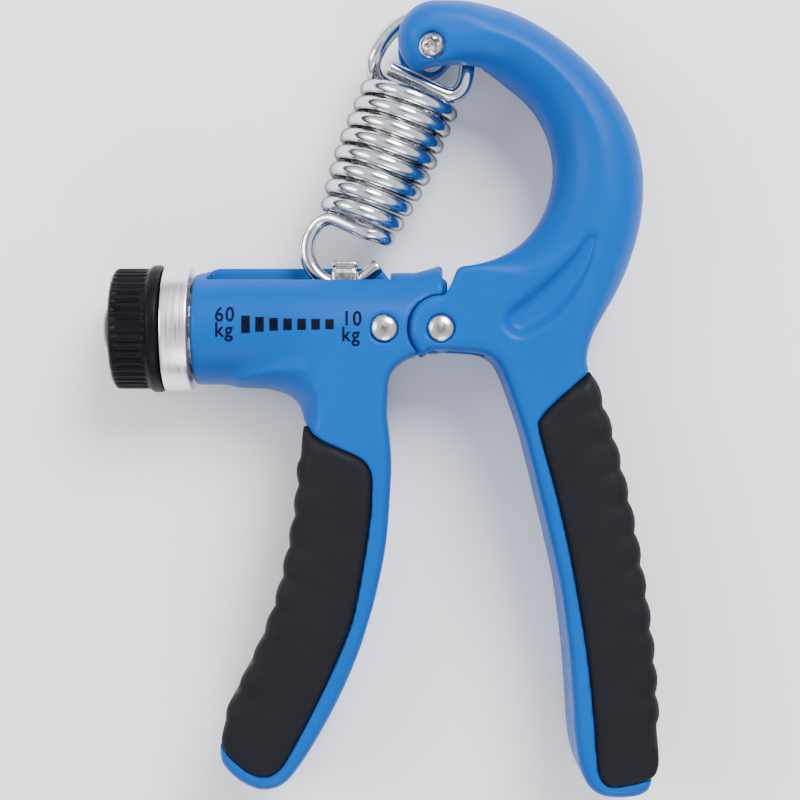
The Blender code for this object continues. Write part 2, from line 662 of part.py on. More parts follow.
def coil_point(turn):
    """A point on the helix, counted in turns down from the eye's end at the left."""
    down = Vector((-sin(SPRING_LEAN), -cos(SPRING_LEAN), 0.0))
    left = Vector((-cos(SPRING_LEAN), sin(SPRING_LEAN), 0.0))
    around = 2 * pi * turn
    radius = coil_radius(turn)
    toward = left * cos(around) + Vector((0.0, 0.0, -1.0)) * sin(around)
    return SPRING_TOP + down * (SPRING_PITCH * turn) + toward * radius


def coil_path(start, end):
    count = ceil((end - start) * WIRE_STEPS) + 1
    return [coil_point(start + (end - start) * i / (count - 1)) for i in range(count)]


def eye_path():
    """From the last turn up round the anchor screw and back across the coil's end."""
    drawn = [(-12.4, 52.9), (-11.9, 55.0), (-9.8, 57.9), (-6.8, 60.3), (-2.9, 61.6), (0.1, 61.4),
             (2.6, 60.0), (4.4, 57.3), (5.2, 53.9), (5.2, 50.5), (4.4, 47.3), (2.4, 45.7),
             (-0.4, 46.5), (-3.9, 48.2), (-6.8, 49.6), (-10.0, 51.1)]
    run = smooth(drawn, 2)
    total = lengths(run)
    rise = EYE_Z_END - EYE_Z_START
    return [Vector((x, y, EYE_Z_START + rise * along / total[-1]))
            for (x, y), along in zip(run, total)]


def hook_arc(start, end, count):
    points = circle_points(HOOK_CENTRE.xy, HOOK_RADIUS, start, end, count)
    return [Vector((x, y, 0.0)) for x, y in points]


def hook_lead():
    """The straight run from the last turn across the front to the top of the hook."""
    last = coil_point(SPRING_TURNS)
    return [last + Vector((-0.9, 0.0, 1.9)), last + Vector((-2.6, 0.7, 3.2)),
            Vector((-14.6, 19.0, 3.4)), Vector((-18.0, 20.6, 2.5)), Vector((-21.2, 21.9, 1.2)),
            Vector((-23.6, 21.3, 0.4))]


def make_spring():
    upper = coil_path(EYE_JOIN, UPPER_END)
    middle = coil_path(UPPER_END + CUT_TURN, MIDDLE_END)
    finish(wire("spring_upper", upper, PARTS), CHROME, COIL_AXIS)
    finish(wire("spring_middle", middle, PARTS), CHROME, COIL_AXIS)
    lower = coil_path(MIDDLE_END + CUT_TURN, SPRING_TURNS)
    lower += hook_lead() + hook_arc(HOOK_START, HOOK_SPLIT, 6)
    finish(wire("spring_lower", lower, PARTS), CHROME, HOOK_AXIS)
    end = hook_arc(HOOK_SPLIT + HOOK_GAP, HOOK_END, 10)
    run_on = Vector((-sin(radians(HOOK_END)), cos(radians(HOOK_END)), 0.0))
    end.append(end[-1] + run_on * HOOK_TAIL)
    finish(wire("spring_hook", end, PARTS), CHROME, HOOK_AXIS)
    finish(wire("spring_eye", eye_path(), PARTS), CHROME, COIL_AXIS)


def make_anchor():
    """The screw that holds the spring's eye in the right handle's head, its roller and its nut."""
    head_low = RIVET_SEAT_Z + GAP
    nut_top = -RIVET_SEAT_Z - GAP
    shaft_end = nut_top - 1.2
    screw = lathe("anchor_screw", [
        (RIVET_TOP_Z, 0.0), (RIVET_TOP_Z - 0.3, 1.7), (RIVET_TOP_Z - 1.0, SCREW_HEAD - 0.1),
        (head_low, SCREW_HEAD - 0.1), (head_low, SCREW_SHAFT), (shaft_end, SCREW_SHAFT),
        (shaft_end, 0.0)], "Z", ANCHOR.xy, PARTS, 16)
    arms = 1.7
    deep = 1.2
    for name, x, y in (("cross_a", arms, 0.35), ("cross_b", 0.35, arms)):
        cut(screw, block(name, (ANCHOR.x - x, ANCHOR.x + x), (ANCHOR.y - y, ANCHOR.y + y),
                         (RIVET_TOP_Z - deep, RIVET_TOP_Z + 1), CUTTERS))
    finish(screw, STEEL, SQUEEZE_AXIS)
    nut = lathe("anchor_nut", [
        (nut_top, SCREW_SHAFT + GAP), (nut_top, SCREW_HEAD - 0.1), (nut_top - 1.4, SCREW_HEAD - 0.1),
        (nut_top - 1.4, SCREW_SHAFT + GAP)], "Z", ANCHOR.xy, PARTS, 6)
    finish(nut, STEEL, SQUEEZE_AXIS)
    roller_half = HEAD_SLOT_HALF - GAP
    roller = lathe("spring_roller", [
        (roller_half, SCREW_SHAFT + GAP), (roller_half, ROLLER_RADIUS),
        (-roller_half, ROLLER_RADIUS), (-roller_half, SCREW_SHAFT + GAP),
    ], "Z", ANCHOR.xy, PARTS, 20)
    finish(roller, NYLON, SQUEEZE_AXIS)


# ---------------------------------------------------------------- build

clear_scene()
PARTS = new_collection("hand_grip_strengthener", False)
CUTTERS = new_collection("cutters", True)

SQUEEZE_AXIS = new_axis("squeeze_axis", 0.0, 0.0)
SCREW_AXIS = new_axis("screw_axis", KNOB_RIGHT, BARREL_Y)
NUT_AXIS = new_axis("nut_axis", NUT_RIGHT, BARREL_Y)
HOOK_AXIS = new_axis("hook_axis", HOOK_CENTRE.x, HOOK_CENTRE.y)
COIL_AXIS = new_axis("coil_axis", SPRING_TOP.x, SPRING_TOP.y)

BLUE = new_material("blue_plastic", (0.03, 0.22, 0.60), 0.0, 0.35)
RUBBER = new_material("black_rubber", (0.02, 0.02, 0.025), 0.0, 0.7)
BLACK = new_material("black_plastic", (0.015, 0.015, 0.02), 0.0, 0.45)
GREY = new_material("grey_plastic", (0.10, 0.10, 0.11), 0.0, 0.25)
ALUMINIUM = new_material("brushed_aluminium", (0.62, 0.63, 0.65), 1.0, 0.32)
CHROME = new_material("chrome_wire", (0.75, 0.76, 0.78), 1.0, 0.12)
STEEL = new_material("plated_steel", (0.55, 0.55, 0.56), 1.0, 0.3)
NYLON = new_material("white_nylon", (0.75, 0.75, 0.72), 0.0, 0.5)

make_left_handle()
make_right_handle()
make_pivot()
make_end_bearing()
make_knob()
make_barrel_bush()
make_tension_nut()
make_spring()
make_anchor()
for cutter in CUTTERS.objects:
    cutter.hide_render = True
    cutter.display_type = "WIRE"
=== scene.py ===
"""The finished look of the hand grip strengthener, built round its CAD model.

Sizes are in millimetres in the drawing frame: origin on the pivot, X along the barrel towards the
right handle, Y up towards the spring, Z towards the printed face. The handles and the pads are
modelled as distance fields, so that barrel, handles and recesses flow into each other, and each
field's zero level becomes a mesh. Wires, turned pieces and print are swept, turned and wrapped.
"""

import json
from math import asin, ceil, cos, hypot, pi, radians, sin

import bmesh
import bpy
import numpy as np
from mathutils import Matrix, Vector
from mathutils.bvhtree import BVHTree


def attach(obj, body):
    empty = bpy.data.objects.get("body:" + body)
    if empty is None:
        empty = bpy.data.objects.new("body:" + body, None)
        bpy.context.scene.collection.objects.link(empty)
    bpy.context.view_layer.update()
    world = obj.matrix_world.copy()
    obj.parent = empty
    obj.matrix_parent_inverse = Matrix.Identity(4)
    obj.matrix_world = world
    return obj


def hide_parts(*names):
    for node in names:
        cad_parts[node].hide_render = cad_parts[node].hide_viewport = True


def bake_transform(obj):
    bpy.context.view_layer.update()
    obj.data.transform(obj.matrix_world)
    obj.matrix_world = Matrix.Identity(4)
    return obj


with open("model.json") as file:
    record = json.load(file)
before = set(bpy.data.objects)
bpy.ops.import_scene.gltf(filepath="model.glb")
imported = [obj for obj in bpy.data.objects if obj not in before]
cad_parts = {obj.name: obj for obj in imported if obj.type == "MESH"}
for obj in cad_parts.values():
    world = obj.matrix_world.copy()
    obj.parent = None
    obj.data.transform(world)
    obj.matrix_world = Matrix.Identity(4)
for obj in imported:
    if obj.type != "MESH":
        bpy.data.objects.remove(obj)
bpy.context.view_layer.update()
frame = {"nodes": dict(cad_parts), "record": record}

MM = 0.001
JOINTS = {joint["name"]: joint for joint in frame["record"]["behaviour"]["joints"]}
PIVOT = Vector(JOINTS["squeeze"]["pos_m"])

# Handles.
HANDLE_HALF = 11.5
HANDLE_EDGE = 2.2
SHOULDER_EDGE = 6.5
SHOULDER_FILLET = 4.5
ARC_EDGE = 6.6
PAD_HALF = 12.45
PAD_INNER_EDGE = 1.3
PAD_OUTER_EDGE = 3.2
PAD_GAP = 0.06
LEFT_RIBS = 9
LEFT_RIBS_START = 6.0
RIGHT_RIBS = 11
RIB_HEIGHT = 0.68
RIB_VALLEY = 0.3
GAP = 0.14
PAST_FACES = 20.0
EAR_RADIUS = 6.3
TONGUE_HALF = 4.5
TONGUE_RADIUS = 4.4
TONGUE_TOP = 9.6
TONGUE_RIGHT = 1.4
FORK_HALF = 5.7
FORK_RADIUS = 10.2
RIVET_SEAT = 2.68
RIVET_SEAT_Z = 10.5
RIVET_UNDERSIDE = 10.6
RIVET_TOP = 12.3
RIVET_CROWN = 0.95
RIVET_RADIUS = 2.55
RIVET_SHAFT = 1.5
RIVET_HOLE = 1.8
SLEEVE_HOLE = 3.1
FIELD_STEP = 0.5
PAD_STEP = 0.45
NUT_STEP = 0.25
SCREW_STEP = 0.1

# Barrel, slot and the pieces on the lead screw's axis.
BARREL_Y = 0.3
BARREL_RADIUS = 11.5
BARREL_HALF_HEIGHT = 10.95
BARREL_LEFT = -47.9
BARREL_RIGHT = 0.5
BARREL_CHAMFER = 0.6
LIP_RISE = 2.7
TURNED_UP = (-5.0, 4.6, 1.35)
TOP_CHAMFER = 10.3
TOP_CHAMFER_SLOPE = 0.7
BORE_RADIUS = 8.7
BORE_END = -8.4
POCKET_LEFT = -15.2
POCKET_RADIUS = 5.4
BUSH_STEP = -46.2
FLANGE_SEAT = 9.9
SLOT_LEFT = -45.2
SLOT_RIGHT = -9.7
SLOT_HALF = 5.6
NOTCH_Y = 9.7
RING = (-53.6, -48.4, 12.2)
KNOB_LEFT = -63.9
KNOB_RIGHT = -53.9
KNOB_RADIUS = 11.8
RIM_LEFT = -56.2
RIM_RADIUS = 12.45
HUB_RADIUS = 8.7
HUB_RIGHT = -49.2
SHANK_HOLE = 3.4
CAP_RADIUS = 4.9
CAP_TIP = -65.85
CAP_CROWN = 1.872
CAP_BACK = -62.9
POCKET_BOTTOM = -59.5
FLUTES = 44
FLUTE_DEPTH = 0.4
THREAD = (-44.9, -15.4, 3.8, 1.5)
THREAD_DEPTH = 0.55
SHANK_RADIUS = 3.0
TIP_RADIUS = 2.2
TIP_RIGHT = -13.1
NUT = (-24.5, -15.4, 8.0, 5.9)
NUT_BORE = 4.1
LUG = (-21.1, -16.0, 13.4, 3.4)
LUG_BAND_Y = 11.9
LUG_EYE_ROOM = 0.6
BEARING_RIVET_X = -10.8
ON_AXIS = 0.02

# Spring.
WIRE = 1.5
WIRE_EASE = 0.3
SPRING_TOP = Vector((-5.1, 47.2, 0.0))
SPRING_LEAN = radians(22.6)
SPRING_PITCH = 3.41
SPRING_TURNS = 8.5
COIL_SPLIT = 4.25
LOW_COIL_END = 8.3
HIGH_COIL_END = 0.2
COIL_OVERLAP = 0.02
COIL_PIECES = 12
HOOK_CENTRE = Vector((-19.1, 15.9, 0.0))
HOOK_RADIUS = 7.0
HOOK_START = 150
HOOK_END = 311
HOOK_TAIL = 3.4
LEAD_ROUTE = [(-14.6, 19.0, 3.4), (-18.0, 20.6, 2.5), (-21.2, 21.9, 1.2), (-23.6, 21.3, 0.4)]
EYE_ROUTE = [(-12.95, 51.0, -1.2), (-13.05, 52.4, 0.0), (-12.45, 54.1, 0.6), (-11.4, 56.0, 0.7),
             (-9.6, 58.3, 0.5), (-6.8, 60.4, 0.4), (-2.9, 61.6, 0.6), (0.1, 61.4, 0.9),
             (2.6, 60.0, 1.2), (4.4, 57.3, 1.5), (5.2, 53.9, 1.7), (5.2, 50.5, 1.9),
             (4.4, 47.3, 2.1), (2.4, 45.7, 2.2), (-0.4, 46.5, 2.3), (-3.9, 48.2, 2.4),
             (-6.8, 49.6, 2.4), (-10.0, 51.1, 2.4)]
ANCHOR = Vector((-1.7, 53.9, 0.0))
ANCHOR_HOLE = 2.0
ANCHOR_SHAFT = 1.7
ANCHOR_HEAD_RADIUS = 2.65
ANCHOR_DOME_RADIUS = 3.0
ANCHOR_DOME_Z = 9.3
ANCHOR_FIELD_BOTTOM = 9.0
CROSS_TURN = radians(24)
CROSS_ARM = 1.6
CROSS_HALF = 0.4
CROSS_HEART = 0.75
CROSS_BOTTOM = 10.6
CROSS_TAPER = 0.35
HEAD_SLOT_HALF = 4.1
HEAD_SLOT_RADIUS = 12.3
HEAD_SLOT_RIGHT = 8.3
BACK_DRAFT = 4.0

# Printed scale on the barrel.
BAR_HEIGHTS = [3.3, 2.8, 2.4, 2.2, 2.1, 2.0, 1.9]
BAR_LEFT = -37.9
BAR_PITCH = 2.66
BAR_WIDTH = 1.6
BAR_Y = 0.7
PRINT_STRIP = 0.3
PRINT_RISE = 0.07
TEXT_SIZE = 3.9
TEXT_WEIGHT = 0.05
TEXT_SPACING = 1.15
TEXT_NARROWED = 0.9
SCALE_TEXTS = [("scale_60", "60", -43.0, 1.3), ("scale_kg_left", "kg", -43.0, -1.6),
               ("scale_10", "10", -18.8, 0.5), ("scale_kg_right", "kg", -18.9, -2.5)]

# Outlines, counter-clockwise in the drawing frame.
LEFT_PAD_OUTER = [(-26.1, -18.1), (-26.6, -22.0), (-27.2, -31.8), (-28.8, -41.9), (-31.2, -52.0),
                  (-34.7, -61.2), (-39.0, -70.0), (-41.0, -74.6)]
LEFT_PAD_BOTTOM = [(-41.8, -78.4), (-40.9, -80.4), (-39.0, -82.4), (-36.2, -84.5), (-33.5, -85.2),
                   (-31.5, -84.5)]
LEFT_PAD_INNER = [(-29.5, -82.2), (-24.6, -73.2), (-19.9, -63.3), (-16.9, -55.5), (-15.2, -47.2),
                  (-13.7, -37.6), (-13.2, -30.5), (-13.4, -27.8), (-14.4, -25.7), (-16.4, -24.3),
                  (-19.5, -23.0), (-22.4, -21.6), (-24.5, -20.1)]
LEFT_SHOULDER = [(BARREL_RIGHT, 2.8), (-23.0, 2.8), (-29.0, -3.0)]
LEFT_UNDERARM = [(-38.5, -9.6), (-34.3, -10.0), (-31.4, -11.1), (-29.0, -12.7), (-27.1, -15.1),
                 (-26.2, -17.9)]
LEFT_LOWER_OUTER = [(-41.6, -77.5), (-42.1, -80.2), (-41.6, -83.0), (-38.9, -85.9), (-35.6, -87.7)]
LEFT_INNER_EDGE = [(-32.9, -88.0), (-30.2, -87.1), (-27.8, -84.7), (-24.2, -79.3), (-19.8, -71.3),
                   (-16.1, -63.0), (-13.8, -56.1), (-12.2, -50.2), (-10.4, -40.9), (-9.6, -30.0),
                   (-9.5, -25.9), (-9.6, -21.9), (-9.9, -16.0), (-8.5, -10.0)]
CROTCH = [(-7.6, -27.0), (-8.9, -22.0), (-9.9, -17.0), (-10.2, -13.5), (-10.1, -10.2),
          (-9.4, -8.1), (-7.6, -6.3), (-5.5, -5.2), (-3.1, -4.6)]
RIGHT_PAD_INNER = [(28.5, -8.2), (22.3, -13.7), (19.2, -17.0), (18.7, -19.4), (21.6, -30.1),
                   (23.7, -38.9), (25.5, -47.9), (27.7, -61.2), (29.0, -73.2), (29.6, -81.0)]
RIGHT_PAD_BOTTOM = [(30.1, -84.8), (31.4, -86.7), (33.4, -87.1), (38.1, -86.2), (40.4, -85.2),
                    (41.3, -83.2), (41.4, -80.0)]
RIGHT_PAD_OUTER = [(41.2, -76.0), (40.4, -63.0), (38.6, -49.0), (36.0, -34.5), (33.0, -22.0),
                   (31.0, -15.5), (28.9, -9.0)]
RIGHT_INNER_EDGE = [(-1.8, -4.1), (5.6, -4.5), (8.0, -4.9), (9.8, -5.8), (11.1, -7.2), (12.4, -9.9),
                    (13.7, -13.5), (15.9, -20.1), (18.5, -30.4), (21.0, -40.9), (22.9, -49.8),
                    (24.4, -61.4), (25.1, -70.6), (25.7, -79.0), (26.5, -83.5), (27.9, -86.9),
                    (30.0, -88.8)]
RIGHT_LOWER_OUTER = [(32.8, -89.5), (36.4, -89.4), (38.9, -88.6), (40.2, -86.6), (40.9, -80.0),
                     (40.5, -72.0), (39.2, -58.0), (36.4, -41.0), (33.2, -26.5), (29.6, -13.0)]
RIGHT_BACK_EDGE = [(27.9, -6.6), (28.0, -4.8), (28.5, -2.9), (29.5, -0.4), (31.5, 3.0), (33.9, 6.9),
                   (36.3, 11.8), (38.2, 17.5), (39.2, 22.5), (39.5, 27.0), (39.3, 31.5),
                   (38.3, 36.5), (36.3, 41.5), (33.4, 46.3), (29.4, 51.0), (24.6, 55.3),
                   (19.7, 58.7), (14.8, 61.2), (9.9, 62.8), (5.9, 63.5), (3.8, 63.6)]
HEAD_CENTRE = (-0.7, 56.0)
HEAD_RADIUS = 7.5
ARC_CENTRE = (2.7, 31.5)
ARC_RADIUS = 19.6
SHOULDER_POINTS = [(3.0, 11.2), (2.6, 9.6), (1.7, 7.9)]
RECESS_ROUTE = [(15.2, 1.6), (19.4, 4.4), (23.6, 8.6), (26.8, 13.0), (28.6, 16.8)]
RECESS_WIDTHS = [2.6, 2.9, 2.5, 1.7, 0.5]
RECESS_DEPTH = 1.8

# Stage, in metres: lights are (name, place, power, size), and sky stops are (height, shade).
FLOOR_HALF = 6.0
FLOOR_Z = -0.0002
SKY_LOW = 0.1
SKY_STOPS = [(0.16, 0.12), (0.34, 1.0), (0.93, 1.0)]
SKY_TOP = (0.25, 0.25, 0.26, 1.0)
LIGHTS = [("key", (0.35, 0.6, 0.75), 16.0, 0.55), ("fill", (-0.65, 0.15, 0.6), 4.0, 0.5),
          ("low", (0.1, -0.8, 0.6), 3.5, 0.6)]
CAMERA_PLACE = (0.00416, -0.00067, 0.3625)
CAMERA_LENS = 80.3
CAMERA_SENSOR = 36.0
CAMERA_RANGE = (0.01, 20.0)


# ---------------------------------------------------------------- plane curves

def circle_points(centre, radius, start, end, count):
    angles = [radians(start + (end - start) * i / (count - 1)) for i in range(count)]
    return [(centre[0] + radius * cos(a), centre[1] + radius * sin(a)) for a in angles]


def smooth(points, steps):
    """A rounded open run through the points, with the given number of steps between each two."""
    places = [Vector(point) for point in points]
    ends = [places[0], *places, places[-1]]
    run = []
    for before, a, b, after in zip(ends, ends[1:], ends[2:], ends[3:]):
        for i in range(steps):
            t = i / steps
            run.append(0.5 * (2 * a + (b - before) * t
                              + (2 * before - 5 * a + 4 * b - after) * t ** 2
                              + (3 * a - before - 3 * b + after) * t ** 3))
    run.append(places[-1])
    return [tuple(place) for place in run]


def left_outline():
    return (LEFT_SHOULDER + smooth(LEFT_UNDERARM, 4) + LEFT_PAD_OUTER
            + smooth(LEFT_LOWER_OUTER + LEFT_INNER_EDGE, 4) + [(BARREL_RIGHT, -9.0)])


def right_outline():
    ear = circle_points((0.0, 0.0), EAR_RADIUS, 84, 236, 24)
    head = circle_points(HEAD_CENTRE, HEAD_RADIUS, 96, 262, 24)
    arc = circle_points(ARC_CENTRE, ARC_RADIUS, 86, -86, 48)
    return (ear + smooth(RIGHT_INNER_EDGE + RIGHT_LOWER_OUTER, 4) + smooth(RIGHT_BACK_EDGE, 4)
            + head + arc + SHOULDER_POINTS)


def left_pad_outline():
    return smooth(LEFT_PAD_OUTER + LEFT_PAD_BOTTOM + LEFT_PAD_INNER, 4)


def right_pad_outline():
    return smooth(RIGHT_PAD_INNER + RIGHT_PAD_BOTTOM + RIGHT_PAD_OUTER, 4)


# ---------------------------------------------------------------- distance fields

class Grid:
    """The sample points of a box, as three arrays that broadcast against each other."""

    def __init__(self, low, high, step):
        counts = [ceil((b - a) / step) + 1 for a, b in zip(low, high)]
        axes = [a + step * np.arange(n) for a, n in zip(low, counts)]
        self.low = np.array(low)
        self.step = step
        self.x = axes[0][:, None, None]
        self.y = axes[1][None, :, None]
        self.z = axes[2][None, None, :]


def ramp(value, low, high):
    """A smooth step from 0 at low to 1 at high."""
    t = np.clip((value - low) / (high - low), 0.0, 1.0)
    return t * t * (3 - 2 * t)


def run_distance(grid, run):
    """Distance from an open run in the plane, and how far along it the nearest place is."""
    best = np.full((grid.x.size, grid.y.size, 1), np.inf)
    along = np.zeros_like(best)
    total = 0.0
    for (ax, ay), (bx, by) in zip(run, run[1:]):
        ex, ey = bx - ax, by - ay
        size = hypot(ex, ey)
        if size == 0:
            continue
        t = np.clip(((grid.x - ax) * ex + (grid.y - ay) * ey) / size ** 2, 0.0, 1.0)
        distance = np.hypot(grid.x - ax - ex * t, grid.y - ay - ey * t)
        nearer = distance < best
        best = np.where(nearer, distance, best)
        along = np.where(nearer, total + t * size, along)
        total += size
    return best, along, total


def inside_of(grid, outline):
    """True where a plane point is inside a closed outline."""
    inside = np.zeros((grid.x.size, grid.y.size, 1), bool)
    for (ax, ay), (bx, by) in zip(outline, outline[1:] + outline[:1]):
        if ay == by:
            continue
        crosses = (ay > grid.y) != (by > grid.y)
        inside ^= crosses & (grid.x < ax + (grid.y - ay) * (bx - ax) / (by - ay))
    return inside


def outline_distance(grid, outline):
    """Signed distance in the plane from a closed outline, negative inside it."""
    distance, _, _ = run_distance(grid, outline + outline[:1])
    return np.where(inside_of(grid, outline), -distance, distance)


def plate(grid, flat, half, edge):
    """A flat piece with rounded edges. The edge's radius may vary over the plane."""
    across = flat + edge
    up = np.abs(grid.z) - (half - edge)
    outer = np.hypot(np.maximum(across, 0.0), np.maximum(up, 0.0))
    return outer + np.minimum(np.maximum(across, up), 0.0) - edge


def prism(grid, flat, low, high):
    """What lies inside a plane distance field between two heights."""
    return np.maximum(flat, np.maximum(low - grid.z, grid.z - high))


def blended(a, b, reach):
    """The union of two fields with a fillet about as wide as reach."""
    overlap = np.maximum(reach - np.abs(a - b), 0.0)
    return np.minimum(a, b) - overlap ** 2 / (4 * reach)


def carved(a, b, reach=0.4):
    """The first field with the second cut away, and the cut's edge eased."""
    return -blended(-a, b, reach)


def blended_cut(a, b, reach):
    """Where both fields are solid, with their shared edge eased."""
    return -blended(-a, -b, reach)


def disc(grid, centre, radius):
    return np.hypot(grid.x - centre[0], grid.y - centre[1]) - radius


def rivet_seats(grid, solid, centre, shaft):
    """The shaft's hole, and the round seat at each face."""
    solid = carved(solid, disc(grid, centre, shaft) + 0 * grid.z, 0.2)
    seat = np.maximum(disc(grid, centre, RIVET_SEAT), RIVET_SEAT_Z - np.abs(grid.z))
    return carved(solid, seat, 0.3)


CORNERS = np.array([(i, j, k) for i in (0, 1) for j in (0, 1) for k in (0, 1)])
CELL_EDGES = [(a, b) for a in range(8) for b in range(a + 1, 8)
              if np.abs(CORNERS[a] - CORNERS[b]).sum() == 1]


def surface(name, grid, field):
    """The field's zero level as a mesh: one point in each cell it crosses, one face at each crossing."""
    shape = np.array(field.shape) - 1
    values = np.stack([field[i:i + shape[0], j:j + shape[1], k:k + shape[2]] for i, j, k in CORNERS])
    solid = values < 0
    used = np.flatnonzero((solid.any(0) & ~solid.all(0)).ravel())
    cells = np.stack(np.unravel_index(used, shape), 1)
    values = values.reshape(8, -1)[:, used]
    total = np.zeros((len(used), 3))
    count = np.zeros((len(used), 1))
    for a, b in CELL_EDGES:
        crossed = (values[a] < 0) != (values[b] < 0)
        with np.errstate(divide="ignore", invalid="ignore"):
            t = np.where(crossed, values[a] / (values[a] - values[b]), 0.0)[:, None]
        total += np.where(crossed[:, None], CORNERS[a] + (CORNERS[b] - CORNERS[a]) * t, 0.0)
        count += crossed[:, None]
    points = (cells + total / count) * grid.step + grid.low
    number = np.full(shape, -1)
    number.reshape(-1)[used] = np.arange(len(used))
    faces = []
    for axis in range(3):
        one, two = (axis + 1) % 3, (axis + 2) % 3
        here = [slice(1, -1)] * 3
        here[axis] = slice(0, -1)
        there = list(here)
        there[axis] = slice(1, None)
        low, high = field[tuple(here)] < 0, field[tuple(there)] < 0
        for crossed, flip in ((low & ~high, False), (~low & high, True)):
            places = np.argwhere(crossed)
            places += [0 if i == axis else 1 for i in range(3)]
            ring = []
            for back_one, back_two in ((1, 1), (0, 1), (0, 0), (1, 0)):
                cell = places.copy()
                cell[:, one] -= back_one
                cell[:, two] -= back_two
                ring.append(number[tuple(cell.T)])
            quad = np.stack(ring, 1)
            faces.append(quad[:, ::-1] if flip else quad)
    return mesh_object(name, points, np.concatenate(faces).tolist())


# ---------------------------------------------------------------- meshes

def mesh_object(name, points, faces, sharp=None):
    """A piece from points in the drawing frame, in millimetres."""
    mesh = bpy.data.meshes.new(name)
    places = np.asarray(points, float) * MM + np.array(PIVOT)
    mesh.from_pydata(places.tolist(), [], faces)
    mesh.validate()
    mesh.shade_smooth()
    if sharp:
        mesh.set_sharp_from_angle(angle=radians(sharp))
    piece = bpy.data.objects.new(name, mesh)
    bpy.context.scene.collection.objects.link(piece)
    return piece


def revolved(name, profile, axis, centre, steps=64, shape=None, sharp=30):
    """Turns an (along, radius) profile about X or Z. shape(along, radius, turn) may change the radius."""
    points, faces = [], []
    for along, radius in profile:
        for i in range(steps):
            turn = 2 * pi * i / steps
            size = shape(along, radius, turn) if shape else radius
            u, v = size * cos(turn), size * sin(turn)
            if axis == "X":
                points.append((along, centre[1] + u, v))
            else:
                points.append((centre[0] + v, centre[1] + u, along))
    for row in range(len(profile) - 1):
        for i in range(steps):
            a, b = row * steps + i, row * steps + (i + 1) % steps
            faces.append((a, b, b + steps, a + steps))
    piece = mesh_object(name, points, faces)
    shape_up = bmesh.new()
    shape_up.from_mesh(piece.data)
    bmesh.ops.remove_doubles(shape_up, verts=shape_up.verts, dist=1e-7)
    bmesh.ops.holes_fill(shape_up, edges=shape_up.edges)
    bmesh.ops.recalc_face_normals(shape_up, faces=shape_up.faces)
    shape_up.to_mesh(piece.data)
    shape_up.free()
    piece.data.shade_smooth()
    piece.data.set_sharp_from_angle(angle=radians(sharp))
    return piece


def rounded_profile(corners, steps=4):
    """An (along, radius) profile whose corners (along, radius, rounding) are eased."""
    points = []
    for i, (x, r, ease) in enumerate(corners):
        here = Vector((x, r))
        if ease == 0 or i in (0, len(corners) - 1):
            points.append((x, r))
            continue
        before = (Vector(corners[i - 1][:2]) - here).normalized() * ease
        after = (Vector(corners[i + 1][:2]) - here).normalized() * ease
        for k in range(steps + 1):
            t = k / steps
            points.append(tuple(here + before * (1 - t) ** 2 + after * t ** 2))
    return points


def wire(name, path, eased, radius=WIRE, sides=16):
    """A round wire along a path, closed at both ends, with an ease round each cut that eased names."""
    places = [Vector(place) for place in path]
    tangent = (places[1] - places[0]).normalized()
    side = tangent.orthogonal().normalized()
    points, faces, rows = [], [], []
    for i, place in enumerate(places):
        ahead = places[min(i + 1, len(places) - 1)] - places[max(i - 1, 0)]
        turned = tangent.rotation_difference(ahead.normalized())
        tangent, side = ahead.normalized(), turned @ side
        rows.append((place, tangent, side, radius))
    first, last = rows[0], rows[-1]
    if "start" in eased:
        inner = (first[0] + first[1] * WIRE_EASE, *first[1:])
        rows = [(*first[:3], radius - WIRE_EASE), inner, *rows[1:]]
    if "end" in eased:
        inner = (last[0] - last[1] * WIRE_EASE, *last[1:])
        rows = [*rows[:-1], inner, (*last[:3], radius - WIRE_EASE)]
    for place, tangent, side, size in rows:
        other = tangent.cross(side)
        for k in range(sides):
            turn = 2 * pi * k / sides
            points.append(place + side * (size * cos(turn)) + other * (size * sin(turn)))
    for row in range(len(rows) - 1):
        for k in range(sides):
            a, b = row * sides + k, row * sides + (k + 1) % sides
            faces.append((a, b, b + sides, a + sides))
    faces.append(tuple(range(sides))[::-1])
    faces.append(tuple(range(len(points) - sides, len(points))))
    return mesh_object(name, [tuple(point) for point in points], faces, sharp=50)


# ---------------------------------------------------------------- materials

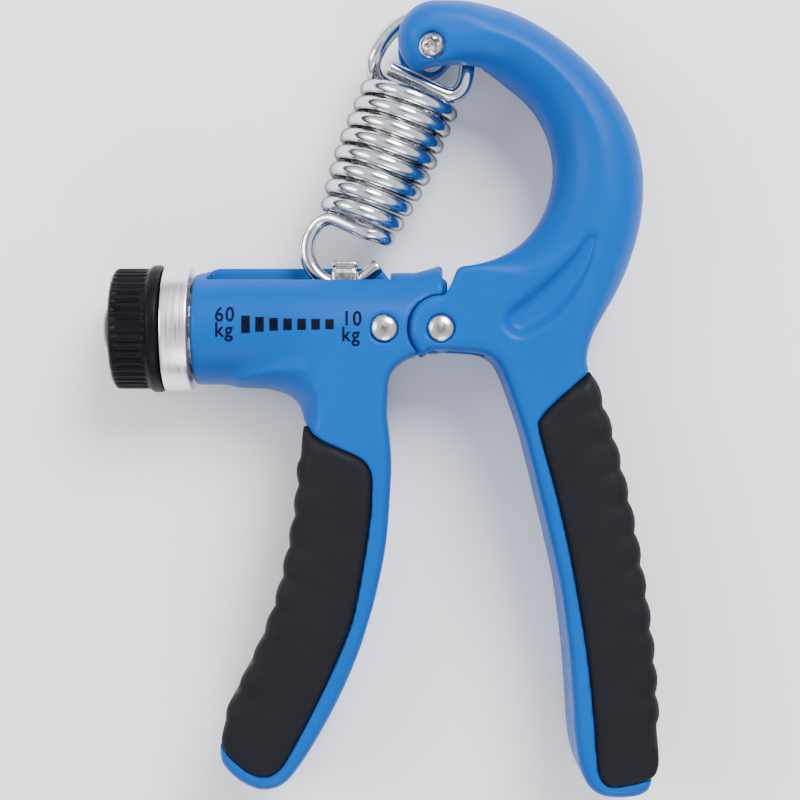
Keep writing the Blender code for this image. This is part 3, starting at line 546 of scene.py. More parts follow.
class Finish:
    """A node material with the noise, colour and bump that each finish here is made of."""

    def __init__(self, name, color, metallic=0.0, roughness=0.5, **sockets):
        self.material = bpy.data.materials.new(name)
        self.material.use_nodes = True
        self.tree = self.material.node_tree
        self.shader = self.tree.nodes["Principled BSDF"]
        self.color = color
        self.shader.inputs["Base Color"].default_value = (*color, 1.0)
        self.shader.inputs["Metallic"].default_value = metallic
        self.shader.inputs["Roughness"].default_value = roughness
        for socket, value in sockets.items():
            self.shader.inputs[socket.replace("_", " ")].default_value = value
        self.place = self.tree.nodes.new("ShaderNodeTexCoord").outputs["Object"]
        self.normal = None

    def link(self, a, b):
        self.tree.links.new(a, b)

    def stretched(self, scale):
        """The object's own coordinates, scaled along X, Y and Z."""
        mapping = self.tree.nodes.new("ShaderNodeMapping")
        mapping.inputs["Scale"].default_value = scale
        self.link(self.place, mapping.inputs["Vector"])
        return mapping.outputs["Vector"]

    def noise(self, scale, detail=4.0, stretch=(1.0, 1.0, 1.0)):
        """Noise with the given number of waves per metre."""
        node = self.tree.nodes.new("ShaderNodeTexNoise")
        node.inputs["Scale"].default_value = scale
        node.inputs["Detail"].default_value = detail
        self.link(self.stretched(stretch), node.inputs["Vector"])
        return node.outputs["Fac"]

    def ranged(self, value, low, high, from_low=0.35, from_high=0.65):
        node = self.tree.nodes.new("ShaderNodeMapRange")
        node.inputs["From Min"].default_value = from_low
        node.inputs["From Max"].default_value = from_high
        node.inputs["To Min"].default_value = low
        node.inputs["To Max"].default_value = high
        self.link(value, node.inputs["Value"])
        return node.outputs["Result"]

    def rough(self, value, low, high):
        self.link(self.ranged(value, low, high), self.shader.inputs["Roughness"])

    def tint(self, value, factor_low, factor_high):
        """Varies the colour's brightness between two factors."""
        node = self.tree.nodes.new("ShaderNodeMix")
        node.data_type = "RGBA"
        for socket, factor in (("A", factor_low), ("B", factor_high)):
            place = [s for s in node.inputs if s.name == socket and s.type == "RGBA"][0]
            place.default_value = (*[c * factor for c in self.color], 1.0)
        self.link(self.ranged(value, 0.0, 1.0), node.inputs["Factor"])
        result = [s for s in node.outputs if s.type == "RGBA"][0]
        self.link(result, self.shader.inputs["Base Color"])

    def bump(self, height, depth, strength=1.0):
        """Adds relief of the given depth in millimetres; calls stack."""
        node = self.tree.nodes.new("ShaderNodeBump")
        node.inputs["Strength"].default_value = strength
        node.inputs["Distance"].default_value = depth * MM
        self.link(height, node.inputs["Height"])
        if self.normal:
            self.link(self.normal, node.inputs["Normal"])
        self.normal = node.outputs["Normal"]
        self.link(self.normal, self.shader.inputs["Normal"])


def blue_plastic():
    """Moulded, semi-gloss: faint flow marks and a very fine skin."""
    finish = Finish("blue_moulded_plastic", (0.0003, 0.078, 0.362), 0.0, 0.34, Specular_IOR_Level=0.10)
    finish.tint(finish.noise(38, 3.0, (1.0, 0.6, 1.0)), 0.94, 1.05)
    finish.rough(finish.noise(420, 5.0), 0.33, 0.42)
    finish.bump(finish.noise(1500, 3.0), 0.012, 0.5)
    finish.bump(finish.noise(90, 2.0), 0.06, 0.25)
    return finish.material


def black_rubber():
    """Soft and matte, with a pebbled grain and dust that greys it a little."""
    finish = Finish("black_soft_rubber", (0.0066, 0.0067, 0.0096), 0.0, 0.6, Specular_IOR_Level=0.13)
    finish.tint(finish.noise(120, 5.0), 0.92, 1.12)
    finish.rough(finish.noise(260, 4.0), 0.54, 0.68)
    finish.bump(finish.noise(2600, 3.0), 0.035, 0.65)
    finish.bump(finish.noise(420, 3.0), 0.03, 0.35)
    return finish.material


def black_plastic():
    finish = Finish("black_satin_plastic", (0.0030, 0.0032, 0.0056), 0.0, 0.4, Specular_IOR_Level=0.10)
    finish.tint(finish.noise(160, 4.0), 0.85, 1.3)
    finish.rough(finish.noise(500, 4.0), 0.34, 0.5)
    finish.bump(finish.noise(2200, 3.0), 0.015, 0.5)
    return finish.material


def grey_plastic():
    finish = Finish("grey_gloss_plastic", (0.03, 0.031, 0.034), 0.0, 0.2, Specular_IOR_Level=0.3)
    finish.tint(finish.noise(300, 3.0), 0.9, 1.12)
    finish.rough(finish.noise(600, 4.0), 0.14, 0.26)
    finish.bump(finish.noise(900, 2.0), 0.008, 0.4)
    return finish.material


def brushed_aluminium():
    """Turned on a lathe: the brush lines run round the ring, so they vary along X alone."""
    finish = Finish("brushed_aluminium_ring", (0.95, 0.91, 0.92), 1.0, 0.3)
    lines = finish.noise(3200, 5.0, (1.0, 0.03, 0.03))
    finish.tint(lines, 0.88, 1.06)
    finish.rough(lines, 0.24, 0.4)
    finish.bump(lines, 0.02, 0.6)
    return finish.material


def chrome_wire():
    """Bright plating over drawn wire: fine marks and slight unevenness."""
    finish = Finish("bright_chrome_wire", (0.80, 0.81, 0.82), 1.0, 0.1)
    # The dark specular tint is painted shade: it darkens the wire's grazing reflections into dark
    # outlines along its rims.
    finish.shader.inputs["Specular Tint"].default_value = (0.2, 0.2, 0.22, 1.0)
    finish.tint(finish.noise(240, 4.0), 0.9, 1.03)
    finish.rough(finish.noise(900, 6.0), 0.05, 0.19)
    finish.bump(finish.noise(700, 5.0), 0.02, 0.45)
    return finish.material


def plated_steel():
    finish = Finish("plated_steel_hardware", (0.66, 0.63, 0.62), 1.0, 0.2)
    # The dark specular tint is painted shade: it darkens grazing reflections into dark rims on the screw,
    # nut and rivets.
    finish.shader.inputs["Specular Tint"].default_value = (0.3, 0.29, 0.29, 1.0)
    finish.tint(finish.noise(500, 5.0), 0.84, 1.05)
    finish.rough(finish.noise(1200, 5.0), 0.12, 0.3)
    finish.bump(finish.noise(1100, 4.0), 0.015, 0.5)
    return finish.material


def white_nylon():
    finish = Finish("natural_nylon", (0.70, 0.69, 0.64), 0.0, 0.5, Subsurface_Weight=0.08)
    finish.shader.inputs["Subsurface Radius"].default_value = (0.001, 0.001, 0.001)
    finish.tint(finish.noise(200, 4.0), 0.93, 1.04)
    finish.rough(finish.noise(700, 4.0), 0.42, 0.58)
    finish.bump(finish.noise(1800, 3.0), 0.01, 0.4)
    return finish.material


def black_ink():
    """The pad-printed scale: slightly uneven where the plastic's skin shows through."""
    finish = Finish("black_print_ink", (0.0015, 0.002, 0.006), 0.0, 0.5, Specular_IOR_Level=0.06)
    finish.tint(finish.noise(900, 5.0), 0.7, 2.2)
    finish.rough(finish.noise(900, 3.0), 0.42, 0.6)
    finish.bump(finish.noise(2400, 2.0), 0.006, 0.4)
    return finish.material


def pale_floor():
    finish = Finish("pale_paper", (0.93, 0.93, 0.94), 0.0, 0.85)
    finish.tint(finish.noise(4, 2.0), 0.995, 1.0)
    return finish.material


FINISHES = {
    "blue_plastic": blue_plastic(), "black_rubber": black_rubber(), "black_plastic": black_plastic(),
    "grey_plastic": grey_plastic(), "brushed_aluminium": brushed_aluminium(),
    "chrome_wire": chrome_wire(), "plated_steel": plated_steel(), "white_nylon": white_nylon(),
}
INK = black_ink()


def settle(piece, slot, body, *nodes):
    """Gives a piece its finish and its body, and hides the CAD nodes it stands for."""
    piece.data.materials.clear()
    piece.data.materials.append(FINISHES[slot])
    if nodes:
        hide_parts(*nodes)
    if body:
        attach(piece, body)
    return piece


# ---------------------------------------------------------------- handles and pads

def barrel_field(grid):
    """The barrel: a cylinder whose slot has a raised back lip, and whose right end turns up."""
    up = (grid.y - BARREL_Y) * BARREL_RADIUS / BARREL_HALF_HEIGHT
    behind_slot = ramp(-grid.z, 2.0, 5.0) * ramp(up, 4.0, 9.0)
    lip = LIP_RISE * behind_slot * ramp(-grid.x, -SLOT_RIGHT - 1, 12.0)
    turn_left, turn_length, turn_rise = TURNED_UP
    along = np.clip((grid.x - turn_left) / turn_length, 0.0, 1.0)
    turned_up = turn_rise * along ** 1.2 * ramp(up, 5.0, 10.0)
    chamfer = np.maximum(BARREL_LEFT + BARREL_CHAMFER - grid.x, 0.0)
    side = np.hypot(up, grid.z) - (BARREL_RADIUS + lip + turned_up - chamfer * 0.9)
    slope = grid.y - TOP_CHAMFER - TOP_CHAMFER_SLOPE * (grid.x - BARREL_LEFT)
    side = blended_cut(side, slope * 0.8, 0.4)
    return blended_cut(blended_cut(side, BARREL_LEFT - grid.x, 0.5), grid.x - BARREL_RIGHT, 0.3)


def left_handle():
    grid = Grid((-50.0, -92.0, -14.0), (4.0, 15.0, 14.0), FIELD_STEP)
    flat = outline_distance(grid, left_outline())
    shoulder = ramp(-grid.x, 18.0, 28.0) * ramp(grid.y, -24.0, -13.0)
    body = plate(grid, flat, HANDLE_HALF, HANDLE_EDGE + SHOULDER_EDGE * shoulder)
    solid = blended(barrel_field(grid), body, 0.05 + SHOULDER_FILLET * shoulder)
    reach = 27.0
    right = TONGUE_RIGHT + 3
    crotch = ([(right, -reach), (right, CROTCH[-1][1])] + smooth(CROTCH, 4)[::-1]
              + [(CROTCH[0][0], -reach)])
    solid = carved(solid, outline_distance(grid, crotch), 1.6)
    cheek = ([(right, -reach), (right, reach), (BARREL_RIGHT - 1.0, reach),
              (BARREL_RIGHT - 0.8, BARREL_RADIUS + 0.8), (BARREL_RIGHT, NOTCH_Y)]
             + circle_points((0.0, 0.0), EAR_RADIUS + GAP, 80, 240, 32) + [(-1.2, -reach)])
    cheek_flat = outline_distance(grid, cheek)
    solid = carved(solid, prism(grid, cheek_flat, TONGUE_HALF, PAST_FACES), 0.3)
    solid = carved(solid, prism(grid, cheek_flat, -PAST_FACES, -TONGUE_HALF), 0.3)
    tongue = ([(-8.5, -4.2)] + circle_points((0.0, 0.0), TONGUE_RADIUS, -90, 60, 16)
              + [(TONGUE_RIGHT, 6.0), (TONGUE_RIGHT, TONGUE_TOP), (-8.5, TONGUE_TOP)])
    solid = np.minimum(solid, plate(grid, outline_distance(grid, tongue), TONGUE_HALF, 0.4))
    bore_radius = np.where(grid.x < BUSH_STEP, FLANGE_SEAT, BORE_RADIUS)
    bore_radius = np.where(grid.x > POCKET_LEFT, POCKET_RADIUS, bore_radius)
    bore = np.hypot(grid.y - BARREL_Y, grid.z) - bore_radius
    solid = carved(solid, np.maximum(bore, grid.x - BORE_END), 0.2)
    across = np.maximum(np.maximum(SLOT_LEFT - grid.x, grid.x - SLOT_RIGHT), np.abs(grid.z) - SLOT_HALF)
    solid = carved(solid, np.maximum(across, BARREL_Y - grid.y), 0.5)
    pad = outline_distance(grid, left_pad_outline())
    solid = carved(solid, pad - PAD_GAP + 0 * grid.z, 0.15)
    solid = rivet_seats(grid, solid, (BEARING_RIVET_X, 0.0), RIVET_HOLE)
    solid = carved(solid, disc(grid, (0.0, 0.0), SLEEVE_HOLE) + 0 * grid.z, 0.2)
    settle(surface("left_handle_shell", grid, solid), "blue_plastic", "left_side", "left_handle")


def right_edge(grid):
    """Edge radius over the plane: crisp on the lower handle, broad round the arc and the head."""
    rise = grid.y + 0.35 * (grid.x - 10.0)
    broad = HANDLE_EDGE + ARC_EDGE * ramp(rise, 0.0, 24.0)
    near_head = ramp(-disc(grid, ANCHOR, 0.0), -15.0, -6.0)
    near_notch = ramp(-disc(grid, SHOULDER_POINTS[0], 0.0), -14.0, -3.0)
    return broad * (1 - 0.4 * near_head) * (1 - 0.75 * near_notch)


def recess_floor(grid):
    """The faces' height over the plane: a round-bottomed, tear-shaped groove that tapers upwards."""
    route = smooth(RECESS_ROUTE, 6)
    distance, along, total = run_distance(grid, route)
    at = along / total * (len(RECESS_WIDTHS) - 1)
    width = np.interp(at, range(len(RECESS_WIDTHS)), RECESS_WIDTHS)
    depth = RECESS_DEPTH * (0.35 + 0.65 * width / RECESS_WIDTHS[0])
    return HANDLE_HALF - depth * (1 - ramp(distance / (width + 0.8), 0.35, 1.15))


def right_handle():
    grid = Grid((-10.0, -92.0, -14.0), (45.0, 67.0, 14.0), FIELD_STEP)
    flat = outline_distance(grid, right_outline())
    solid = plate(grid, flat, HANDLE_HALF, right_edge(grid))
    solid = np.maximum(solid, (np.abs(grid.z) - recess_floor(grid)) * 0.8)
    fork = np.maximum(disc(grid, (0.0, 0.0), FORK_RADIUS), np.abs(grid.z) - FORK_HALF)
    solid = carved(solid, fork, 0.3)
    slot = np.maximum(disc(grid, ANCHOR, HEAD_SLOT_RADIUS), grid.x - HEAD_SLOT_RIGHT)
    slot = np.maximum(slot, np.abs(grid.z) - HEAD_SLOT_HALF)
    solid = carved(solid, slot, 0.8)
    draft = BACK_DRAFT * ramp(grid.x, -1.0, 4.5) * ramp(-grid.x, -15.0, -5.0)
    draft = draft * ramp(-grid.z, -3.0, 6.0) * ramp(grid.y, 38.0, 46.0)
    solid = carved(solid, disc(grid, ARC_CENTRE, ARC_RADIUS + draft), 0.4)
    pad = outline_distance(grid, right_pad_outline())
    solid = carved(solid, pad - PAD_GAP + 0 * grid.z, 0.15)
    solid = rivet_seats(grid, solid, (0.0, 0.0), RIVET_HOLE)
    solid = rivet_seats(grid, solid, ANCHOR, ANCHOR_HOLE)
    settle(surface("right_handle_shell", grid, solid), "blue_plastic", "right_side", "right_handle")


def grip_pad(name, outline, outer, ribs, low, high, body, node, bare=0.0):
    """A rubber pad: round ribs cross its outer face, wrap its edges and fade out on its faces."""
    grid = Grid((*low, -15.0), (*high, 15.0), PAD_STEP)
    flat = outline_distance(grid, outline)
    distance, along, total = run_distance(grid, outer)
    phase = np.clip((along - bare) / (total - bare), 0.0, 1.0) * ribs
    wave = np.abs(np.sin(pi * phase)) ** 0.8
    near = ramp(-distance, -6.5, -1.0)
    edge = PAD_INNER_EDGE + (PAD_OUTER_EDGE - PAD_INNER_EDGE) * near
    past_bare = ramp(along, bare, bare + 2.0)
    rubber = plate(grid, flat - RIB_HEIGHT * wave * near * past_bare, PAD_HALF, edge)
    valley = RIB_VALLEY * (1 - wave) * ramp(-distance, -6.0, -1.5) * past_bare
    rubber = np.maximum(rubber, np.abs(grid.z) - (PAD_HALF - valley))
    settle(surface(name, grid, rubber), "black_rubber", body, node)


# ---------------------------------------------------------------- knob, ring, screws and rivets

def knob():
    def fluted(along, radius, turn):
        inside = ramp(along, KNOB_LEFT + 0.9, KNOB_LEFT + 1.8)
        inside *= ramp(-along, -RIM_LEFT + 0.2, -RIM_LEFT + 1.0)
        outside = ramp(radius, KNOB_RADIUS - 0.6, KNOB_RADIUS - 0.1)
        return radius - FLUTE_DEPTH * inside * outside * (0.5 + 0.5 * cos(FLUTES * turn)) ** 1.4

    body_left, body_length, steps = KNOB_LEFT + 2.0, RIM_LEFT - KNOB_LEFT - 2.6, 10
    body = [(body_left + body_length * i / steps, KNOB_RADIUS, 0) for i in range(steps + 1)]
    corners = [(POCKET_BOTTOM, CAP_RADIUS + 0.2, 0), (KNOB_LEFT + 0.3, CAP_RADIUS + 0.2, 0.2),
               (KNOB_LEFT + 0.1, 8.4, 0.3), (KNOB_LEFT + 0.35, KNOB_RADIUS - 0.9, 0.4),
               (KNOB_LEFT + 1.0, KNOB_RADIUS, 0.4), *body,
               (RIM_LEFT - 0.2, KNOB_RADIUS + 0.1, 0.2), (RIM_LEFT + 0.3, RIM_RADIUS, 0.5),
               (KNOB_RIGHT - 0.4, RIM_RADIUS, 0.3), (KNOB_RIGHT, RIM_RADIUS - 0.5, 0.2),
               (KNOB_RIGHT, HUB_RADIUS, 0), (HUB_RIGHT, HUB_RADIUS, 0), (HUB_RIGHT, SHANK_HOLE, 0),
               (POCKET_BOTTOM, SHANK_HOLE, 0)]
    piece = revolved("knob_body", rounded_profile(corners, 3), "X", (0.0, BARREL_Y), FLUTES * 8, fluted)
    settle(piece, "black_plastic", "knob_and_screw", "adjusting_knob")
    dome = [(CAP_TIP + CAP_CROWN * (1 - cos(radians(a))), CAP_RADIUS * sin(radians(a)))
            for a in range(3, 91, 6)]
    profile = [(CAP_TIP - 0.01, ON_AXIS), *dome, (CAP_BACK, CAP_RADIUS), (CAP_BACK, ON_AXIS)]
    piece = revolved("knob_cap", profile, "X", (0.0, BARREL_Y), 64)
    settle(piece, "grey_plastic", "knob_and_screw", "knob_end_cap")
    left, right, size = RING
    corners = [(right, HUB_RADIUS + GAP, 0), (right, size - 0.1, 0.25), (right - 0.3, size, 0.2),
               (right - 2.6, size + 0.04, 0.5), (left + 0.3, size, 0.2), (left, size - 0.1, 0.25),
               (left, HUB_RADIUS + GAP, 0), (right, HUB_RADIUS + GAP, 0)]
    piece = revolved("ring_body", rounded_profile(corners), "X", (0.0, BARREL_Y), 128)
    settle(piece, "brushed_aluminium", "knob_and_screw", "collar_ring")


def lead_screw():
    left, right, size, pitch = THREAD

    def threaded(along, radius, turn):
        if not left + 0.3 < along < right - 0.2:
            return radius
        phase = (along / pitch - turn / (2 * pi)) % 1.0
        return radius - THREAD_DEPTH * abs(2 * phase - 1)

    count = round((right - left) / pitch * 8)
    rows = [(left + (right - left) * i / count, size) for i in range(count + 1)]
    shank = [(POCKET_BOTTOM, ON_AXIS), (POCKET_BOTTOM, SHANK_RADIUS), (left, SHANK_RADIUS)]
    profile = shank + rows + [(right, TIP_RADIUS), (TIP_RIGHT, TIP_RADIUS), (TIP_RIGHT, ON_AXIS)]
    piece = revolved("lead_screw_body", profile, "X", (0.0, BARREL_Y), 32, threaded, 40)
    settle(piece, "plated_steel", "knob_and_screw", "lead_screw")


def rivet(name, centre, body, node, rows=8):
    """A shaft with a crowned head at each end."""
    angles = [radians(90 * i / rows) for i in range(1, rows + 1)]
    crown = [(RIVET_TOP - RIVET_CROWN * (1 - cos(a)), RIVET_RADIUS * sin(a)) for a in angles]
    low = RIVET_UNDERSIDE
    half = [(RIVET_TOP, ON_AXIS), *crown, (low + 0.1, RIVET_RADIUS), (low, RIVET_RADIUS - 0.1),
            (low, RIVET_SHAFT)]
    profile = half + [(-along, radius) for along, radius in reversed(half)]
    settle(revolved(name, profile, "Z", centre, 48), "plated_steel", body, node)


def anchor_screw():
    """A pan head with a cross recess, modelled as a field so that the recess tapers."""
    reach = ANCHOR_HEAD_RADIUS + 0.55
    grid = Grid((ANCHOR.x - reach, ANCHOR.y - reach, ANCHOR_FIELD_BOTTOM - 0.5),
                (ANCHOR.x + reach, ANCHOR.y + reach, RIVET_TOP + 0.5), SCREW_STEP)
    x, y = grid.x - ANCHOR.x, grid.y - ANCHOR.y
    u = np.abs(x * cos(CROSS_TURN) + y * sin(CROSS_TURN))
    v = np.abs(y * cos(CROSS_TURN) - x * sin(CROSS_TURN))
    flat = np.hypot(x, y)
    dome = np.hypot(flat, grid.z - ANCHOR_DOME_Z) - ANCHOR_DOME_RADIUS
    dome = np.maximum(dome, flat - ANCHOR_HEAD_RADIUS)
    head = blended_cut(dome, RIVET_UNDERSIDE - grid.z, 0.15)
    head = np.minimum(head, np.maximum(flat - ANCHOR_SHAFT, grid.z - CROSS_BOTTOM - 0.1))
    head = np.maximum(head, ANCHOR_FIELD_BOTTOM - grid.z)
    taper = CROSS_TAPER * (grid.z - RIVET_TOP + 0.7)
    arm_a = np.maximum(u - CROSS_ARM - taper, v - CROSS_HALF - taper * 0.4)
    arm_b = np.maximum(v - CROSS_ARM - taper, u - CROSS_HALF - taper * 0.4)
    cross = np.minimum(np.minimum(arm_a, arm_b), flat - CROSS_HEART - taper)
    cross = np.maximum(cross, CROSS_BOTTOM - grid.z)
    piece = surface("anchor_screw_head", grid, carved(head, cross, 0.12))
    settle(piece, "plated_steel", "right_side", "anchor_screw")
    top, bottom = ANCHOR_FIELD_BOTTOM - 0.05, -12.0
    profile = [(top, ON_AXIS), (top, ANCHOR_SHAFT), (bottom + 0.2, ANCHOR_SHAFT),
               (bottom, ANCHOR_SHAFT - 0.2), (bottom, ON_AXIS)]
    shaft = revolved("anchor_screw_shaft", profile, "Z", ANCHOR, 32)
    settle(shaft, "plated_steel", "right_side", "anchor_screw")


def tension_nut():
    """The travelling nut, with the lug that the spring's hook goes through."""
    left, right, size, flat_y = NUT
    lug_left, lug_right, lug_top, lug_half = LUG
    grid = Grid((left - 1, -size - 1, -size - 1), (right + 1, lug_top + 1, size + 1), NUT_STEP)
    up = grid.y - BARREL_Y
    barrel = blended_cut(np.hypot(up, grid.z) - size, grid.y - flat_y, 0.5)
    barrel = blended_cut(barrel, np.maximum(left - grid.x, grid.x - right), 0.5)
    band = 0.25 * (1 - ramp(np.abs(grid.y - LUG_BAND_Y), 0.2, 0.7))
    tab = np.maximum(lug_left + band - grid.x, grid.x - lug_right + band)
    tab = blended_cut(tab, np.abs(grid.z) - lug_half + band, 0.7)
    tab = blended_cut(tab, grid.y - lug_top, 0.6)
    solid = blended(barrel, np.maximum(tab, flat_y - 1 - grid.y), 0.6)
    ring = np.hypot(grid.x - HOOK_CENTRE.x, grid.y - HOOK_CENTRE.y) - HOOK_RADIUS
    eye = np.maximum(np.hypot(ring, grid.z) - WIRE - LUG_EYE_ROOM, grid.y - HOOK_CENTRE.y)
    solid = carved(solid, eye, 0.3)
    solid = carved(solid, np.hypot(up, grid.z) - NUT_BORE, 0.2)
    settle(surface("tension_nut_body", grid, solid), "plated_steel", "nut", "tension_nut")


# ---------------------------------------------------------------- spring

def coil_radius(turn):
    """The helix's mean radius: it narrows over its last turns."""
    full, end, taper_from = 8.4, 6.4, 4.0
    t = max(0.0, (turn - taper_from) / (SPRING_TURNS - taper_from))
    return full + (end - full) * t ** 1.6


DOWN = Vector((-sin(SPRING_LEAN), -cos(SPRING_LEAN), 0.0))
LEFT = Vector((-cos(SPRING_LEAN), sin(SPRING_LEAN), 0.0))


def coil_axis(turn):
    return SPRING_TOP + DOWN * (SPRING_PITCH * turn)


def coil_point(turn):
    around = 2 * pi * turn
    toward = LEFT * cos(around) + Vector((0.0, 0.0, -1.0)) * sin(around)
    return coil_axis(turn) + toward * coil_radius(turn)


def coil_path(start, end, steps=32):
    count = ceil((end - start) * steps) + 1
    return [coil_point(start + (end - start) * i / (count - 1)) for i in range(count)]


def eased_path(points, steps):
    """A rounded run through points in space."""
    return [Vector(point) for point in smooth(points, steps)]


def hook_point(angle):
    return HOOK_CENTRE + HOOK_RADIUS * Vector((cos(radians(angle)), sin(radians(angle)), 0.0))


def stretching_coil(name, from_turn, to_turn, pieces, nodes):
    """Coils from one turn to another, as wire pieces of about a third of a turn each, baked in place.
    """
    span = (to_turn - from_turn) / pieces
    for i in range(pieces):
        first, last = from_turn + span * i, from_turn + span * (i + 1)
        overlap = span * COIL_OVERLAP
        low, high = sorted((first - overlap, last + overlap))
        piece = settle(wire(f"{name}_{i:02}", coil_path(low, high, 48), ()), "chrome_wire", None, *nodes)
        along = (coil_point(last) - coil_point(first)).normalized()
        axis = coil_axis(0.0) - coil_axis(1.0)
        along = (along - axis * along.dot(axis) / axis.length_squared).normalized()
        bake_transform(piece)


def spring():
    last = coil_point(SPRING_TURNS)
    lead = [coil_point(SPRING_TURNS - 0.12), coil_point(SPRING_TURNS - 0.06), last,
            last + Vector((-0.5, 0.0, 1.8)), last + Vector((-2.4, 0.6, 3.2)), *LEAD_ROUTE,
            hook_point(HOOK_START), hook_point(HOOK_START + 8)]
    low = coil_path(LOW_COIL_END - 0.01, SPRING_TURNS - 0.14) + eased_path(lead, 5)
    settle(wire("spring_lead_wire", low, ()), "chrome_wire", "coils_low", "spring_lower")
    stretching_coil("spring_low_coil", LOW_COIL_END, COIL_SPLIT, COIL_PIECES,
                    ("spring_lower", "spring_middle"))
    stretching_coil("spring_high_coil", COIL_SPLIT, HIGH_COIL_END, COIL_PIECES,
                    ("spring_middle", "spring_upper"))
    top = coil_path(0.09, HIGH_COIL_END + 0.01)[::-1]
    top += eased_path([coil_point(0.06), *EYE_ROUTE], 5)
    settle(wire("spring_eye_wire", top, ("end",)), "chrome_wire", "coils_high", "spring_eye")
    run_on = Vector((-sin(radians(HOOK_END)), cos(radians(HOOK_END)), 0.0))
    arc = [hook_point(HOOK_START + (HOOK_END - HOOK_START) * i / 40) for i in range(41)]
    arc += [arc[-1] + run_on * HOOK_TAIL * i / 4 for i in range(1, 5)]
    piece = settle(wire("spring_hook_wire", arc, ("end",)), "chrome_wire", None, "spring_hook")
    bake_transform(piece)


# ---------------------------------------------------------------- the printed scale

def printed(name, outline, faces, target):
    """Lays flat print on the left handle's front: cut in strips so that it bends, a hair above it."""
    flat = bmesh.new()
    corners = [flat.verts.new((x, y, 0.0)) for x, y in outline]
    for face in faces:
        flat.faces.new([corners[i] for i in face])
    bmesh.ops.triangulate(flat, faces=flat.faces)
    bottom = min(y for _, y in outline)
    top = max(y for _, y in outline)
    strips = ceil((top - bottom) / PRINT_STRIP)
    for i in range(1, strips):
        height = bottom + (top - bottom) * i / strips
        bmesh.ops.bisect_plane(flat, geom=[*flat.verts, *flat.edges, *flat.faces],
                               plane_co=(0.0, height, 0.0), plane_no=(0.0, 1.0, 0.0))
    flat.verts.index_update()
    points = []
    for corner in flat.verts:
        start = PIVOT + Vector((corner.co.x, corner.co.y, 2 * PAST_FACES)) * MM
        hit, _, _, _ = target.ray_cast(start, Vector((0.0, 0.0, -1.0)))
        points.append((corner.co.x, corner.co.y, (hit.z - PIVOT.z) / MM + PRINT_RISE))
    piece = mesh_object(name, points, [[v.index for v in face.verts] for face in flat.faces])
    flat.free()
    piece.data.materials.append(INK)
    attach(piece, "left_side")


def scale_print():
    handle = bpy.data.objects["left_handle_shell"]
    target = BVHTree.FromObject(handle, bpy.context.evaluated_depsgraph_get())
    points, faces = [], []
    for i, height in enumerate(BAR_HEIGHTS):
        left = BAR_LEFT + BAR_PITCH * i
        first = len(points)
        low, high = BAR_Y - height / 2, BAR_Y + height / 2
        points += [(left, low), (left + BAR_WIDTH, low), (left + BAR_WIDTH, high), (left, high)]
        faces.append((first, first + 1, first + 2, first + 3))
    printed("scale_bars", points, faces, target)
    for name, text, x, y in SCALE_TEXTS:
        font = bpy.data.curves.new(name, "FONT")
        font.body = text
        font.size = TEXT_SIZE
        font.offset = TEXT_WEIGHT
        font.space_character = TEXT_SPACING
        letters = bpy.data.objects.new(name, font)
        bpy.context.scene.collection.objects.link(letters)
        bpy.context.view_layer.update()
        mesh = bpy.data.meshes.new_from_object(letters)
        bpy.data.objects.remove(letters)
        outline = [(x + v.co.x * TEXT_NARROWED, y + v.co.y) for v in mesh.vertices]
        printed(name + "_print", outline, [tuple(p.vertices) for p in mesh.polygons], target)


# ---------------------------------------------------------------- the whole

left_handle()
right_handle()
grip_pad("left_pad_rubber", left_pad_outline(), smooth(LEFT_PAD_OUTER, 4), LEFT_RIBS,
         (-46.0, -90.0), (-8.0, -14.0), "left_side", "left_grip_pad", bare=LEFT_RIBS_START)
grip_pad("right_pad_rubber", right_pad_outline(), smooth(RIGHT_PAD_OUTER, 4), RIGHT_RIBS,
         (14.0, -92.0), (46.0, -4.0), "right_side", "right_grip_pad")
knob()
lead_screw()
rivet("pivot_rivet_body", (0.0, 0.0), "left_side", "pivot_rivet")
rivet("bearing_rivet_body", (BEARING_RIVET_X, 0.0), "left_side", "bearing_rivet")
anchor_screw()
tension_nut()
spring()
scale_print()

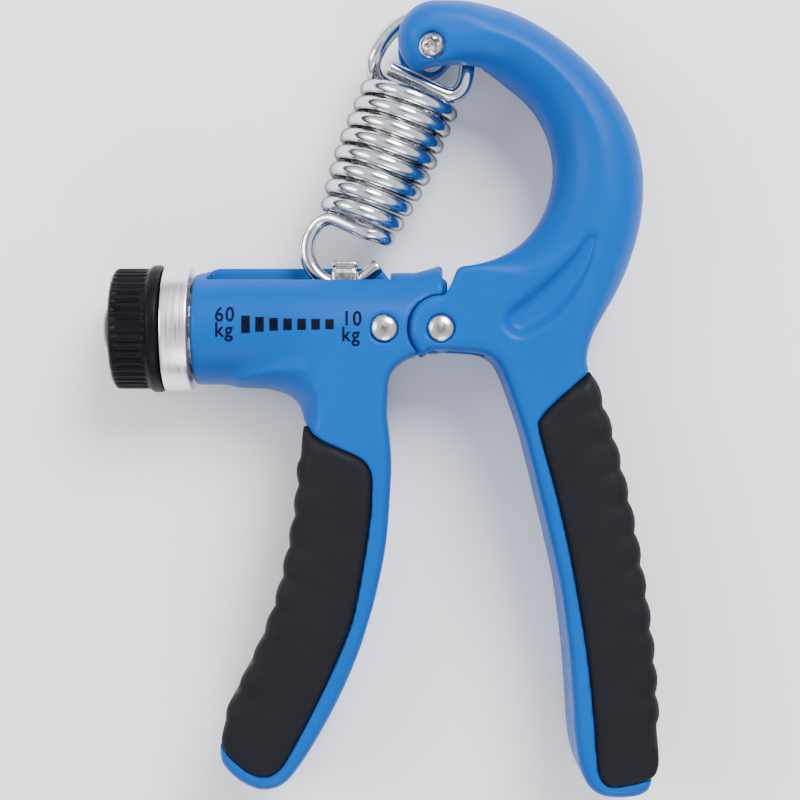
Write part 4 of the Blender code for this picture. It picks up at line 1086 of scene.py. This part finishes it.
SLOTS = {part["node"]: part["material_slot"] for part in frame["record"]["subparts"]}
for node, thing in frame["nodes"].items():
    for slot in thing.material_slots:
        slot.material = FINISHES[SLOTS[node]]


# ---------------------------------------------------------------- stage, lights and camera

def stage():
    size = FLOOR_HALF
    corners = [(-size, -size), (size, -size), (size, size), (-size, size)]
    mesh = bpy.data.meshes.new("floor")
    mesh.from_pydata([(x, y, FLOOR_Z) for x, y in corners], [], [(0, 1, 2, 3)])
    floor = bpy.data.objects.new("floor", mesh)
    bpy.context.scene.collection.objects.link(floor)
    mesh.materials.append(pale_floor())


def area_light(name, place, power, size):
    """A round soft light, aimed at the middle of the floor."""
    data = bpy.data.lights.new(name, "AREA")
    data.shape = "DISK"
    data.energy = power
    data.size = size
    light = bpy.data.objects.new(name, data)
    light.location = place
    light.rotation_euler = (-Vector(place)).to_track_quat("-Z", "Y").to_euler()
    bpy.context.scene.collection.objects.link(light)


def studio():
    world_light = bpy.data.worlds.new("studio")
    world_light.use_nodes = True
    tree = world_light.node_tree
    split = tree.nodes.new("ShaderNodeSeparateXYZ")
    sky = tree.nodes.new("ShaderNodeValToRGB")
    tree.links.new(tree.nodes.new("ShaderNodeTexCoord").outputs["Generated"], split.inputs["Vector"])
    tree.links.new(split.outputs["Z"], sky.inputs["Fac"])
    tree.links.new(sky.outputs["Color"], tree.nodes["Background"].inputs["Color"])
    stops = sky.color_ramp.elements
    for height, shade in SKY_STOPS:
        stops.new(height).color = (shade, shade * 1.01, shade * 1.03, 1.0)
    stops[0].color = (SKY_LOW, SKY_LOW, SKY_LOW, 1.0)
    stops[len(stops) - 1].color = SKY_TOP
    tree.nodes["Background"].inputs["Strength"].default_value = 1.0
    bpy.context.scene.world = world_light
    for light in LIGHTS:
        area_light(*light)


def camera():
    data = bpy.data.cameras.new("camera")
    data.sensor_width = CAMERA_SENSOR
    data.lens = CAMERA_LENS
    data.clip_start, data.clip_end = CAMERA_RANGE
    view = bpy.data.objects.new("camera", data)
    view.location = CAMERA_PLACE
    bpy.context.scene.collection.objects.link(view)
    bpy.context.scene.camera = view


stage()
studio()
camera()
